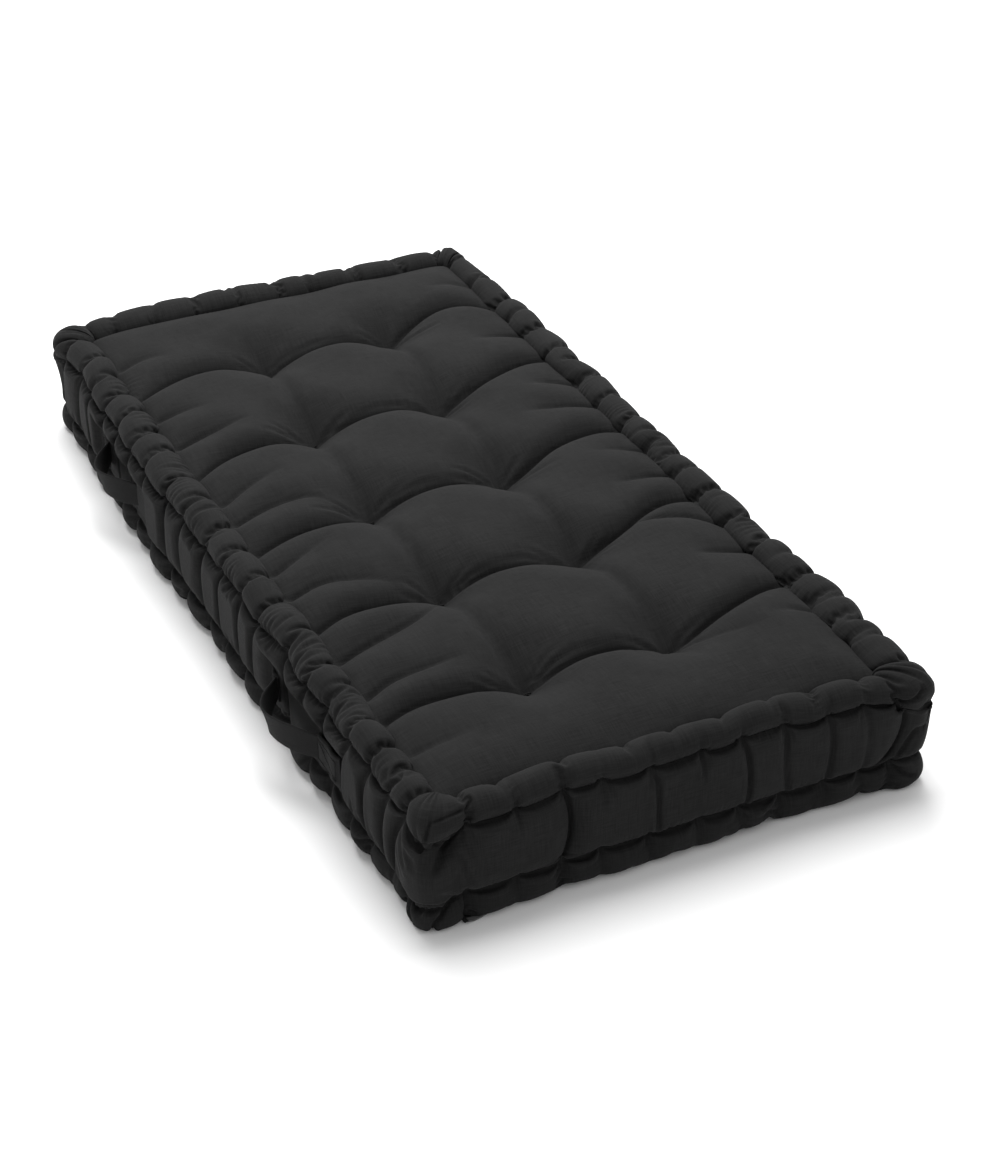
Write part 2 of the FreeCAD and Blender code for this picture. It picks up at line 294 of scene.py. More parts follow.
def between(pair, shares, aside_x=0.0, aside_y=0.0):
    """Places at shares of the way between two tufts, moved aside."""
    (x0, y0), (x1, y1) = TUFTS[pair[0]][:2], TUFTS[pair[1]][:2]
    return np.column_stack([x0 + (x1 - x0) * shares + aside_x, y0 + (y1 - y0) * shares + aside_y])


def tuft_creases():
    """The valleys between the tufts of a pair, the saddles along each row and the folds at both ends."""
    creases = []
    steps = np.linspace(0, 1, 7)
    hump = np.sin(np.pi * steps)
    for number in range(1, TUFTS_PER_ROW + 1):
        pair = ("left", number), ("right", number)
        creases.append((between(pair, steps, 0, 4 * MM * hump), SEAT + 15 * hump ** 0.8, steps ** 0, 5))
        shares = np.linspace(*((0.08, 0.62) if number % 2 else (0.42, 0.94)), 5)
        rise = np.sin(np.pi * shares)
        path = between(pair, shares, 0, (6 + 13 * rise) * MM)
        creases.append((path, SEAT + 11 + 17 * rise, (0.2, 0.55, 0.6, 0.5, 0.0), 3))
    for row, out in (("left", -1), ("right", 1)):
        for number in range(1, TUFTS_PER_ROW):
            path = between(((row, number), (row, number + 1)), steps, out * 3 * MM * hump)
            creases.append((path, SEAT + 30 * hump ** 0.7, 1 - 0.65 * hump, 13))
        for number, end in ((1, -1), (TUFTS_PER_ROW, 1)):
            x, y = TUFTS[row, number][:2]
            for dx, dy, depth, width in ((6, 38, 1.0, 13), (-22, 30, 0.8, 9)):
                path = [(x + out * dx * MM * t, y + end * dy * MM * t) for t in (0, 1, 2)]
                creases.append((path, (SEAT, SEAT + 26, 146), (depth, 0.4 * depth, 0), width))
    return creases


def rounded(values):
    """Cuts the corners of a polyline, whatever each point holds, and keeps both ends."""
    for _ in range(2):
        near = 0.75 * values[:-1] + 0.25 * values[1:]
        far = 0.25 * values[:-1] + 0.75 * values[1:]
        inner = np.stack([near, far], 1).reshape(-1, values.shape[1])
        values = np.concatenate([values[:1], inner, values[-1:]])
    return values


def all_creases():
    """Every crease as a smooth line: its places, floor heights and depths, and its width."""
    drawn, smoothed = [], []
    for path, heights, depths, width in LEFT_CREASES + RIGHT_CREASES:
        sunk = [height if height == SEAT else height - CREASE_SINK for height in heights]
        drawn.append(([crease_point(point) for point in path], sunk, depths, width))
    for path, heights, depths, width in drawn + tuft_creases():
        line = rounded(np.column_stack([np.array(path, float), heights, depths]))
        smoothed.append((line[:, :2].tolist(), line[:, 2], line[:, 3], width))
    return smoothed


CREASES = all_creases()


def crease_maps(x, y, least_width):
    """For every point, the floor height of the nearest crease and how strongly it draws."""
    floor, pull = np.full(x.shape, 0.2), np.zeros(x.shape)
    for path, heights, depths, width in CREASES:
        nearest, at = along_path(x, y, path)
        steps = np.arange(len(path))
        here = np.interp(at, steps, depths) * bell(nearest, max(0.85 * width * MM, least_width))
        floor = np.where(here > pull, np.interp(at, steps, heights) * MM, floor)
        pull = np.maximum(here, pull)
    return floor, pull


def gather_creases():
    """Short fine folds that run together at the tufts: path, depths and width."""
    dice = np.random.default_rng(12)
    steps = np.linspace(0, 1, 7)
    folds = []
    for (row, _), (x, y, _, _) in TUFTS.items():
        out = -1 if row == "left" else 1
        for away, turns in ((out, (16, 30, 47, -24)), (-out, (20, 36, -22))):
            for turn in turns:
                turn = math.radians(turn + dice.uniform(-5, 5))
                reach, bend = dice.uniform(48, 88) * MM, dice.uniform(-7, 3) * MM
                t = np.linspace(0.14, 1, 7)
                across = reach * t * math.sin(turn) * (1 - 0.35 * t) + bend * np.sin(np.pi * t)
                path = np.column_stack([x + away * reach * t * math.cos(turn), y + across])
                strength = dice.uniform(1.2, 2.6) * np.sin(np.pi * (0.3 + 0.7 * steps))
                folds.append((path, strength, dice.uniform(2.6, 3.6)))
    return folds


def fold_relief(x, y):
    """How deep the sharp bottoms of the panel's folds are cut."""
    relief = np.zeros(x.shape)
    drawn = [(path, FOLD_DEEP * depths ** 1.3, FOLD_WIDTH)
             for path, _, depths, width in CREASES if width < BROAD_CREASE]
    for path, strength, width in gather_creases() + drawn:
        last = len(path) - 1

        def depth_at(at):
            fade = smooth(at / last / 0.12) * smooth((1 - at / last) / 0.12)
            return np.interp(at, np.arange(last + 1), strength) * fade

        cut_fold(relief, x, y, True, path, 30 * MM, width * MM, (0.4, 2.2, 1.2), depth_at)
    return relief * MM


def filling_height(x, y):
    """How high the filling lifts the panel: a crown that sinks to the tufts, folds and edges."""
    tuft = np.zeros(x.shape)
    for tuft_x, tuft_y, _, _ in TUFTS.values():
        away = np.hypot(x - tuft_x, y - tuft_y)
        tuft = np.maximum(tuft, (1 - np.clip(away / TUFT_REACH, 0, 1)) ** 1.55)
    fold = crease_maps(x, y, 19 * MM)[1]
    edge = 1 - smooth(np.minimum(PANEL_X - np.abs(x), PANEL_Y - np.abs(y)) / (52 * MM))
    merge = 2.2
    sunk = ((TUFT_SINK * tuft) ** merge + (FOLD_SINK * fold) ** merge + (EDGE_SINK * edge) ** merge) ** (1 / merge)
    return CROWN_Z - sunk * MM + 1.0 * MM * waves(x, y, 0.12, 8) - corner_drop(x, y)


def panel_grid(rows, cols):
    return np.meshgrid(np.linspace(-PANEL_X, PANEL_X, cols), np.linspace(-PANEL_Y, PANEL_Y, rows))


def panel_slack(x, y):
    """How much longer than the frame the panel's cloth is cut, as a share: across and down."""
    end_fade = 0.35 + 0.65 * smooth((PANEL_Y - np.abs(y)) / 0.16)
    beside = 0.030 * smooth((np.abs(x) - 0.11) / 0.09) * smooth((PANEL_X - np.abs(x)) / 0.02)
    ends = smooth((np.abs(y) - 0.42) / 0.05) * (1 - smooth((PANEL_X - np.abs(x)) / 0.07))
    across = 0.008 + 0.005 * waves(x, y, 0.18, 3)
    down = (0.030 + beside) * end_fade * (1 - 0.9 * ends) + 0.006 * waves(x, y, 0.15, 4)
    return across, down


def top_panel_points():
    """The top panel as cloth: cut larger than its frame, pushed up by the filling, held at its
    edges and at the tufts, and relaxed on three grids, each twice as fine as the last."""
    soft_gain, crease_gain = 0.03, 0.20
    shear = 0.35
    for level, (steps, rounds, bend) in enumerate(PANEL_LEVELS):
        rows, cols = ((n - 1) * 2 ** level + 1 for n in PANEL_COARSE)
        x, y = panel_grid(rows, cols)
        step_x, step_y = x[0, 1] - x[0, 0], y[1, 0] - y[0, 0]
        floor, pull = crease_maps(x, y, 0.9 * step_x)
        start = np.stack([x, y, START_Z * (1 - pull) + floor * pull])
        points = np.float32(finer(points) if level else start)
        free = np.ones((rows, cols), np.float32)
        free[[0, -1]] = 0
        free[:, [0, -1]] = 0
        edge = free == 0
        points[:, edge] = np.stack([x, y, EDGE_Z - EDGE_DIP * pull - corner_drop(x, y)])[:, edge]
        for tuft_x, tuft_y, _, _ in TUFTS.values():
            away = np.hypot(x - tuft_x, y - tuft_y)
            seat = away <= max(TUFT_RADIUS, away.min())
            free[seat] = 0
            low = np.stack([(x + tuft_x) / 2, (y + tuft_y) / 2, np.full(x.shape, TUFT_SEAT_Z)])
            points[:, seat] = low[:, seat]
        across, down = panel_slack(x, y)
        springs = make_springs(step_y * (1 + down)[1:], step_x * (1 + across)[:, 1:], free, shear, bend)
        gain = np.float32(soft_gain + (crease_gain - soft_gain) * pull)
        ceiling = np.float32(filling_height(x, y) * (1 - pull) + floor * pull)

        def lift(p):
            push = np.zeros_like(p)
            push[2] = gain * (ceiling - p[2])
            return push

        points = relax(points, springs, free, lift, lambda p: None, steps, rounds)
    points[2] -= np.float32(fold_relief(x, y) * free)
    return points


# ---------------------------------------------------------------- rolled edges and border
# One band of cloth runs round the mattress: over the top roll, down the border and under the
# bottom roll. A station is a place along the perimeter. Its base point is REACH in from the edge,
# and its outward vector leads from there to the edge; inset is the distance in from the edge.

ROLL_R = 20 * MM
REACH = 46 * MM
CORNER_R = 22 * MM
STATION = 6 * MM
OVERLAP = 8
CORNERS = ((1, 1), (-1, 1), (-1, -1), (1, -1))
CORNER_POINT = (3 * MM, 9 * MM, 4 * MM, 13 * MM)
# How far the stuffing pushes each edge out, by place along the side; all in millimetres.
EDGE_SHIFT = {
    "back": ((-300, 0), (-220, 10), (-110, 13), (0, 9), (80, 3), (300, 1)),
    "left": ((-600, -4), (-480, -1), (-370, -1), (-300, 3), (-40, 2), (100, 6), (230, 10), (340, 6), (480, 3),
             (560, 2), (600, 0)),
    "front": ((-300, 0), (-220, -1), (-60, -3), (120, -4), (220, -2), (300, 0)),
    "right": ((-600, 3), (-550, 11), (-450, 13), (-330, 5), (-100, 1), (60, 1), (250, 7), (400, 3), (500, -3),
              (600, -6)),
}
# How much lower than the rest of the roll each corner of the top sits.
CORNER_DROP = (2 * MM, 9 * MM, 1 * MM, 10 * MM)
DROP_REACH = 72 * MM
TOP_CENTRE_Z, BOTTOM_CENTRE_Z = TOP_Z - ROLL_R, ROLL_R
TOP_SEAM_Z, BOTTOM_SEAM_Z = 129 * MM, 43 * MM
# The edge wanders by EDGE_SWAY, and leans in by CORNER_LEAN at the near left corner.
EDGE_SWAY, CORNER_LEAN = 2.6 * MM, 6.5 * MM
NEAR_LEFT_REACH, TUCK_REACH = 50 * MM, 34 * MM
SEAM_GAP, FLOOR_GAP = 0.4 * MM, 0.5 * MM
# How far the filling pushes the cloth out from a roll's centre and from the border's back, how much
# less in a fold, and how firmly it does so outside and inside folds.
ROLL_FILL, ROLL_FOLD, ROLL_GAIN, ROLL_FOLD_GAIN = 27 * MM, 16 * MM, 0.035, 0.12
WALL_FILL, WALL_FOLD, WALL_GAIN, WALL_FOLD_GAIN = 30 * MM, 22 * MM, 0.014, 0.10
# What a corner cap adds to a roll's filling and a pinch takes away, and how far the border slopes
# in under the near left cap.
CAP_FILL, PINCH_LOSS, NEAR_LEFT_SLOPE = 1.5 * MM, 5.0 * MM, 16 * MM
BORDER_THICKNESS = 20 * MM
FOLD_LEAST_WIDTH, PINCH_WIDTH = 4.2 * MM, 5 * MM
CREASE_CUT = 2.6


def arc(inset, height, start, end):
    """The arc of a roll's section, in millimetres, with a point every 8 degrees."""
    turns = [math.radians(turn) for turn in range(start, end, 8)]
    return [(inset + 20 * math.cos(turn), height + 20 * math.sin(turn)) for turn in turns]


# Cross-section of the band, in millimetres of inset and height: the roll's arc starts at the
# panel and ends in the seam with the border.
TOP_ROLL_PATH = arc(20, 130, 15, 190) + [(6, 128)]
BORDER_PATH = [(6, 128), (1, 122), (-2, 85), (0, 50), (8, 43)]
BOTTOM_ROLL_PATH = [(8, 43), (4, 33)] + arc(21, 20, 152, 346)
ROLL_ROWS, WALL_ROWS = 48, 64
BAND_LEVELS = ((90, 4, 0.05), (90, 4, 0.10), None)

# Where thread pinches the rolls, in millimetres along each side: beside the panel and beside
# the border. The outermost two on each side bound the corner caps.
INNER_MARKS = {
    "left": (-556, -510, -464, -415, -343, -297, -230, -157, -104, -42, 20, 86, 142, 217, 272, 327, 382, 437,
             490, 552),
    "front": (-246, -200, -128, -55, 2, 61, 118, 172, 230, 266),
    "right": (-560, -500, -463, -415, -367, -292, -223, -158, -99, -30, 33, 100, 165, 246, 318, 362, 407, 480,
              552),
    "back": (-262, -225, -168, -109, -46, 15, 59, 132, 200, 258),
}
OUTER_MARKS = {
    "left": (-556, -515, -470, -421, -352, -306, -238, -163, -110, -50, 12, 78, 136, 208, 264, 320, 375, 430,
             484, 552),
    "front": (-246, -190, -134, -90, -34, 26, 75, 128, 181, 226, 268),
    "right": (-562, -510, -470, -422, -372, -326, -284, -230, -164, -108, -60, -10, 40, 94, 160, 205, 250,
              312, 366, 414, 470, 552),
    "back": (-260, -215, -160, -100, -52, 8, 70, 125, 190, 258),
}
STRONG_MARKS = (-562, -556, -246, -262, -128, -134, 230, 258, 266, 268, -560, 552)
# Border creases: place at the top and at the bottom seam, bow sideways, depth from 0 to 1.
BORDER_CREASES = {
    "front": ((-134, -137, 9, 1.0), (-31, -27, 3, 0.35), (76, 82, 4, 0.6), (130, 137, -4, 0.45),
              (182, 180, 5, 0.55), (226, 222, 4, 0.3), (262, 245, 21, 1.0)),
    "back": ((-238, -240, 4, 0.8), (-160, -164, -5, 0.5), (-100, -96, 4, 0.7), (8, 4, 4, 0.6),
             (70, 75, -4, 0.5), (125, 120, 5, 0.8), (190, 194, 3, 0.5), (244, 240, -6, 0.7)),
}
SIDE_CREASE_BOW = {"left": 7, "right": -7}
# Folds at the corners: side, then points as place in millimetres and level down the band (0 at the
# panel, 1 at the border's top seam, 2 at its bottom seam, 3 underneath), depth and width.
CORNER_FOLDS = (
    ("front", ((-250, 0.62), (-270, 0.64), (-289, 0.70)), 0.75, 1.6),
    ("front", ((-289, 0.68), (-294, 0.98)), 0.75, 1.6),
    ("front", ((-246, 1.02), (-256, 1.10), (-272, 1.24)), 0.9, 4),
    ("front", ((-258, 2.02), (-275, 2.14), (-298, 2.10)), 1.0, 4),
    ("front", ((-270, 2.10), (-284, 2.30), (-290, 2.55)), 0.9, 4),
    ("front", ((-246, 2.05), (-250, 2.5)), 0.7, 5),
    ("left", ((-556, 2.02), (-575, 2.16), (-598, 2.12)), 1.0, 4),
    ("left", ((-566, 2.1), (-580, 2.45)), 0.8, 4),
    ("front", ((262, 1.0), (280, 0.86), (299, 0.72)), 1.0, 3.4),
    ("front", ((262, 1.03), (282, 1.10), (299, 1.16)), 1.0, 3.2),
    ("right", ((-599, 0.72), (-585, 0.70)), 0.8, 3), ("right", ((-599, 1.16), (-580, 1.30)), 0.8, 4),
    ("front", ((296, 1.55), (284, 1.72), (270, 1.95)), 0.7, 4),
    ("front", ((268, 2.02), (280, 2.2), (299, 2.3)), 0.8, 4),
    ("back", ((258, 0.1), (276, 0.45), (284, 0.9)), 0.9, 3.5),
    ("right", ((560, 0.1), (574, 0.4), (578, 0.8)), 0.9, 3.5),
    ("right", ((552, 1.0), (570, 1.4)), 0.7, 4),
    ("back", ((-258, 0.2), (-272, 0.55), (-284, 0.95)), 0.6, 3.5),
    ("left", ((552, 0.2), (570, 0.5), (590, 0.9)), 0.9, 4),
    ("left", ((552, 1.0), (572, 1.3), (580, 1.8)), 0.9, 5),
)
# How far the corners tuck in below the top roll: at the border's middle, bottom seam and bottom roll.
CORNER_TUCK = ((3, 4, 2), (9, 8, 6), (-4, -2, -4), (7, 6, 3))
# Per side: the cloth's extra length along the rolls, along the border and round the rolls, and how
# deep its pinches and its stray folds are.
ROLL_SLACK = {"left": 0.10, "front": 0.03, "right": 0.075, "back": 0.04}
WALL_SLACK = {"left": 0.15, "front": 0.05, "right": 0.13, "back": 0.09}
ROLL_GIRTH = {"left": 0.10, "front": 0.07, "right": 0.12, "back": 0.08}
PINCH_DEPTH = {"left": 1.0, "front": 0.75, "right": 0.95, "back": 0.7}
FOLD_DEPTH = {"left": 0.8, "front": 0.25, "right": 0.6, "back": 0.3}


def pick(table, side):
    return np.array([table[name] for name in SIDES])[side]


def band_section():
    """Inset, height and running length down the band, one value a row at the finest grid."""
    lines, runs = [], []
    for path, rows in ((TOP_ROLL_PATH, ROLL_ROWS), (BORDER_PATH, WALL_ROWS), (BOTTOM_ROLL_PATH, ROLL_ROWS)):
        line, run = even_steps(np.array(path) * MM, rows)
        first, before = (1, runs[-1][-1]) if runs else (0, 0)
        lines.append(line[first:])
        runs.append(run[first:] + before)
    insets, heights = np.concatenate(lines).T
    return insets, heights, np.concatenate(runs)


def corner_fan(spacing):
    """Outward vectors round one corner, from +X to +Y, with even steps on the rounded edge."""
    turn = np.linspace(0, np.pi / 2, 400)
    ray = np.stack([np.cos(turn), np.sin(turn)])
    middle = REACH - CORNER_R
    along = middle * ray.sum(0)
    round_hit = along + np.sqrt(np.maximum(along ** 2 - 2 * middle ** 2 + CORNER_R ** 2, 0))
    flat_hit = REACH / np.maximum(ray[0], ray[1])
    low = np.minimum(ray[0], ray[1]) * flat_hit
    outline = (ray * np.where(low < middle, flat_hit, round_hit)).T
    count = 2 * int(round(travelled(outline)[-1] / spacing / 2))
    return even_steps(outline, count)[0].T


def make_stations(spacing):
    """Base points and outward vectors, counterclockwise from the middle of the back right corner
    and on past the start by OVERLAP stations at both ends."""
    inner = np.array((HALF_X - REACH, HALF_Y - REACH))
    fan = corner_fan(spacing)
    half = fan.shape[1] // 2
    base, out = [], []
    for step, corner in enumerate(CORNERS + CORNERS[:1]):
        turn = step % 4 * math.pi / 2
        cos, sin = round(math.cos(turn)), round(math.sin(turn))
        turned = np.stack([cos * fan[0] - sin * fan[1], sin * fan[0] + cos * fan[1]])
        closing = step == 4
        part = slice(0, half) if closing else slice(0 if step else half, None)
        start = corner * inner
        for vector in turned[:, part].T:
            base.append(start)
            out.append(vector)
        if closing:
            break
        run = CORNERS[(step + 1) % 4] * inner - start
        count = int(round(np.hypot(*run) / spacing))
        for n in range(1, count):
            base.append(start + run * n / count)
            out.append(turned[:, -1])
    base, out = np.array(base).T, np.array(out).T
    out = out * (1 + outward_shift(base, out) / REACH)
    return wrapped(base), wrapped(out)


def wrapped(values):
    return np.concatenate([values[..., -OVERLAP:], values, values[..., :OVERLAP + 1]], -1)


def corner_away(edge, corner):
    """Distance of each edge point from one corner of the mattress."""
    return np.hypot(edge[0] - corner[0] * HALF_X, edge[1] - corner[1] * HALF_Y)


def corner_drop(x, y):
    """How much lower the top lies near its corners."""
    drops = zip(CORNERS, CORNER_DROP)
    return sum(depth * bell(corner_away((x, y), corner), DROP_REACH) for corner, depth in drops)


def outward_shift(base, out):
    """How far the stuffing bows each side out, and draws each corner to a point."""
    side, place = side_of(base, out)
    shift = np.zeros(len(place))
    for index, name in enumerate(SIDES):
        at, pushed = np.array(EDGE_SHIFT[name]).T * MM
        near = place[side == index]
        spread = [np.interp(near + step * MM, at, pushed) for step in (-24, -12, 0, 12, 24)]
        shift[side == index] = np.mean(spread, 0)
    for corner, point in zip(CORNERS, CORNER_POINT):
        shift = shift + point * bell(corner_away(base + out, corner) - 4 * MM, 27 * MM, 4)
    return shift


def side_of(base, out):
    """The side each station belongs to, as an index into SIDES, and its place along that side."""
    edge = base + out
    down_x, down_y = HALF_X - np.abs(edge[0]), HALF_Y - np.abs(edge[1])
    on_end = down_y <= down_x + 1e-9
    side = np.where(on_end, np.where(edge[1] > 0, 0, 2), np.where(edge[0] < 0, 1, 3))
    return side, np.where(on_end, edge[0], edge[1])


def pinch_profile(marks_of, side, place):
    """Per station: 1 at each pinch; the lump between two pinches, from 0 to 1; and the corner cap."""
    pinch, lump, cap = np.zeros((3, len(place)))
    for index, name in enumerate(SIDES):
        here = side == index
        half = (HALF_Y if name in ("left", "right") else HALF_X) - 4.7 * MM
        marks = np.array(marks_of[name]) * MM
        at = place[here]
        pinch[here] = bell(np.abs(at[:, None] - marks[None, :]).min(1), PINCH_WIDTH)
        after = np.clip(np.searchsorted(marks, at), 1, len(marks) - 1)
        t = np.clip((at - marks[after - 1]) / (marks[after] - marks[after - 1]), 0, 1)
        low = np.clip((marks[0] - at) / (marks[0] + half), 0, 1)
        high = np.clip((at - marks[-1]) / (half - marks[-1]), 0, 1)
        beyond = np.maximum(low, high)
        cap[here] = np.sin(np.pi / 2 * beyond) ** 0.3
        lump[here] = np.maximum(np.sqrt(np.abs(np.sin(np.pi * t))) * (beyond == 0), cap[here])
    return pinch, lump, cap


class Band:
    """The geometry of the band on one grid: where each point starts, is held, and is drawn to."""

    def __init__(self, base, out, inset, height, run, level):
        rows, cols = len(inset), base.shape[1]
        self.base, self.out, self.run = base, out, run
        self.lap = OVERLAP * 2 ** level
        self.step = STATION / 2 ** level
        self.side, self.place = side_of(base, out)
        roll_rows = int(round((rows - 1) * ROLL_ROWS / (2 * ROLL_ROWS + WALL_ROWS)))
        self.top, self.bottom = roll_rows, rows - 1 - roll_rows
        edge = base + out
        self.travel = travelled(edge.T)
        self.from_corner = np.hypot(HALF_X - np.abs(edge[0]), HALF_Y - np.abs(edge[1]))
        self.depth = pick(PINCH_DEPTH, self.side)
        self.near_left = bell(corner_away(edge, CORNERS[2]), NEAR_LEFT_REACH)
        self.drop = corner_drop(edge[0], edge[1])
        self.make_tuck(rows, edge)
        self.plain = self.place_points(*(np.repeat(v[:, None], cols, 1) for v in (inset, height)))
        self.make_seams(rows, cols)
        self.make_shares(rows)
        self.make_pulls(rows, cols)
        self.make_push(rows)
        self.make_press(rows)

    def make_tuck(self, rows, edge):
        """How much further in each point lies near the corners, from the border's middle down."""
        top, bottom = self.top, self.bottom
        levels = (top, (top + bottom) / 2, bottom, (bottom + rows) / 2, rows - 1)
        self.tuck = np.zeros((rows, edge.shape[1]))
        for corner, (wall, seam, roll) in zip(CORNERS, CORNER_TUCK):
            down = np.interp(np.arange(rows), levels, (0, wall, seam, roll, 0))
            self.tuck += down[:, None] * MM * bell(corner_away(edge, corner), TUCK_REACH, 4)

    def place_points(self, inset, height):
        if np.shape(inset) == self.tuck.shape:
            inset = inset + self.tuck
        share = 1 - inset / REACH
        height = np.broadcast_to(height, np.shape(share + self.out[0]))
        return np.stack([self.base[0] + self.out[0] * share, self.base[1] + self.out[1] * share, height])

    def make_seams(self, rows, cols):
        """Inset and height of the four seams, with the gathers' pinches and lumps in them."""
        steady = smooth(self.from_corner / 0.10 - 0.4)
        sway_in, self.sway_up = (EDGE_SWAY * steady * waves(self.travel, 0.0, 0.11, seed) for seed in (51, 52))
        self.sway_in = sway_in + CORNER_LEAN * self.near_left
        in_pinch, in_lump, _ = pinch_profile(INNER_MARKS, self.side, self.place)
        out_pinch, out_lump, self.cap = pinch_profile(OUTER_MARKS, self.side, self.place)
        self.beads = (in_lump, out_lump)
        depth, cap = self.depth, self.cap
        # In millimetres: what each pinch, each lump between pinches and each corner cap adds.
        top_gather = (3.0 * out_pinch - 5.5 * out_lump * depth - 6.0 * cap) * MM
        self.top_seam = TOP_SEAM_Z - 0.8 * self.drop + 0.7 * self.sway_up + top_gather
        self.bottom_seam = BOTTOM_SEAM_Z + (3.0 * out_pinch - 6.5 * out_lump * depth + 1.0 * cap) * MM
        top_in = (5.5 + 5.5 * out_pinch * depth - 2.5 * cap - 2.0 * self.near_left) * MM
        self.top_inset = top_in + 0.5 * self.sway_in
        self.bottom_inset = (5.5 + 4.5 * out_pinch * depth) * MM
        panel_drop = corner_drop(*self.place_points(36 * MM, 0)[:2])
        self.held = {
            0: ((33.5 + 8.5 * in_lump * depth) * MM, (135.0 - 3.5 * in_pinch * depth) * MM - panel_drop),
            self.top: (self.top_inset, self.top_seam),
            self.bottom: (self.bottom_inset, self.bottom_seam),
            rows - 1: (np.full(cols, 38 * MM), np.full(cols, 13 * MM)),
        }

    def pin(self, points):
        for row, (inset, height) in self.held.items():
            points[:, row] = self.place_points(inset + self.tuck[row], height)

    def make_shares(self, rows):
        """How far down each of the three parts of the band every row lies, from 0 to 1."""
        row = np.arange(rows)[:, None]
        self.top_share = np.clip(row / self.top, 0, 1)
        self.wall_share = np.clip((row - self.top) / (self.bottom - self.top), 0, 1)
        self.bottom_share = np.clip((row - self.bottom) / (rows - 1 - self.bottom), 0, 1)
        self.on_top, self.on_bottom = row < self.top, row > self.bottom
        self.on_wall = ~(self.on_top | self.on_bottom)
        self.fold_width = max(FOLD_LEAST_WIDTH, 0.75 * self.step)

    def make_pulls(self, rows, cols):
        """How firmly folds draw each point in, from 0 to 1."""
        dice = np.random.default_rng(21)
        self.pull = np.zeros((rows, cols))
        for index, name in enumerate(SIDES):
            here = self.side == index
            self.draw_pinches(name, here, dice)
            self.draw_stray_folds(name, here, dice)
            self.draw_border_creases(name, here, dice)
        self.draw_corner_folds(rows)

    def draw(self, fold):
        self.pull = np.maximum(self.pull, fold)

    def draw_pinches(self, name, here, dice):
        """Folds that run into both rolls from every pinch."""
        to_border = (self.top_share, 1 - self.bottom_share)
        to_panel = (1 - self.top_share, self.bottom_share)
        for marks, shares in ((INNER_MARKS[name], to_border), (OUTER_MARKS[name], to_panel)):
            for mark in marks:
                lean, reach = dice.uniform(-12, 12) * MM, dice.uniform(0.55, 1.1)
                depth = 1.0 if mark in STRONG_MARKS else PINCH_DEPTH[name] * dice.uniform(0.6, 1.0)
                for share, on in zip(shares, (self.on_top, self.on_bottom)):
                    fade = np.clip(1 - share / reach, 0, 1) ** 0.6
                    wide = self.fold_width * (1.25 + 0.5 * (1 - share))
                    self.draw(depth * fade * bell(self.place - mark * MM - lean * share, wide) * on * here)

    def draw_stray_folds(self, name, here, dice):
        """Short folds on the rolls, between the pinches."""
        span = (HALF_Y if name in ("left", "right") else HALF_X) - 60 * MM
        for _ in range(int(FOLD_DEPTH[name] * span * 2 / (22 * MM))):
            at, lean = dice.uniform(-span, span), dice.uniform(-26, 26) * MM
            start, reach = dice.uniform(0, 0.7), dice.uniform(0.25, 0.5)
            depth = FOLD_DEPTH[name] * dice.uniform(0.3, 0.75)
            on_top = dice.uniform() < 0.6
            share = self.top_share if on_top else self.bottom_share
            fade = np.clip(1 - np.abs(share - start - reach / 2) / reach * 1.6, 0, 1)
            fold = depth * fade * bell(self.place - at - lean * (share - start), 0.8 * self.fold_width)
            self.draw(fold * (self.on_top if on_top else self.on_bottom) * here)

    def draw_border_creases(self, name, here, dice):
        """Creases that run down the border from seam to seam."""
        creases = BORDER_CREASES.get(name) or [
            (mark, mark + dice.uniform(-9, 9),
             SIDE_CREASE_BOW[name] * dice.uniform(0.2, 1.5), dice.uniform(0.55, 1.0))
            for mark in OUTER_MARKS[name]
        ]
        t = self.wall_share
        for start, end, bow, depth in creases:
            line = (start + (end - start) * t + 4 * bow * t * (1 - t)) * MM
            self.draw(depth * bell(self.place - line, 1.15 * self.fold_width) * self.on_wall * here)

    def draw_corner_folds(self, rows):
        level = np.interp(np.arange(rows), (0, self.top, self.bottom, rows - 1), (0, 1, 2, 3))
        scale = np.interp(level, (0, 0.99, 1.01, 1.99, 2.01, 3), (70, 70, 90, 90, 70, 70))[:, None] * MM
        for name, path, depth, width in CORNER_FOLDS:
            placed = [(place * MM, at * scale) for place, at in path]
            nearest, _ = along_path(self.place[None, :], level[:, None] * scale, placed)
            fold = depth * bell(nearest, np.maximum(width * MM, 0.7 * self.step))
            self.draw(fold * (self.side == SIDES.index(name)))

    def make_push(self, rows):
        """How far out the filling pushes each point, and how firmly."""
        in_lump, out_lump = self.beads
        on_wall, pull = self.on_wall, self.pull
        share = np.where(self.on_top, self.top_share, np.where(self.on_bottom, 1 - self.bottom_share, 0))
        self.bead = np.where(on_wall, 1.0, in_lump * (1 - share) + out_lump * share)
        roll = ROLL_FILL + CAP_FILL * self.cap - PINCH_LOSS * (1 - self.bead) * self.depth
        sloping = NEAR_LEFT_SLOPE * self.near_left * bell(self.wall_share, 0.3)
        aim = np.where(on_wall, WALL_FILL - WALL_FOLD * pull - sloping, roll - ROLL_FOLD * pull)
        upper_half = np.arange(rows)[:, None] <= (rows - 1) / 2
        centre_z = np.where(upper_half, TOP_CENTRE_Z - self.drop, BOTTOM_CENTRE_Z)
        self.aim, self.centre_z = np.float32(aim), np.float32(centre_z)
        gain = np.where(on_wall, WALL_GAIN + WALL_FOLD_GAIN * pull, ROLL_GAIN + ROLL_FOLD_GAIN * pull)
        self.gain = np.float32(gain)
        self.square = np.float32(np.where(on_wall, 0, 0.8 * smooth(2 * self.cap)))
        self.on_wall = on_wall.ravel()

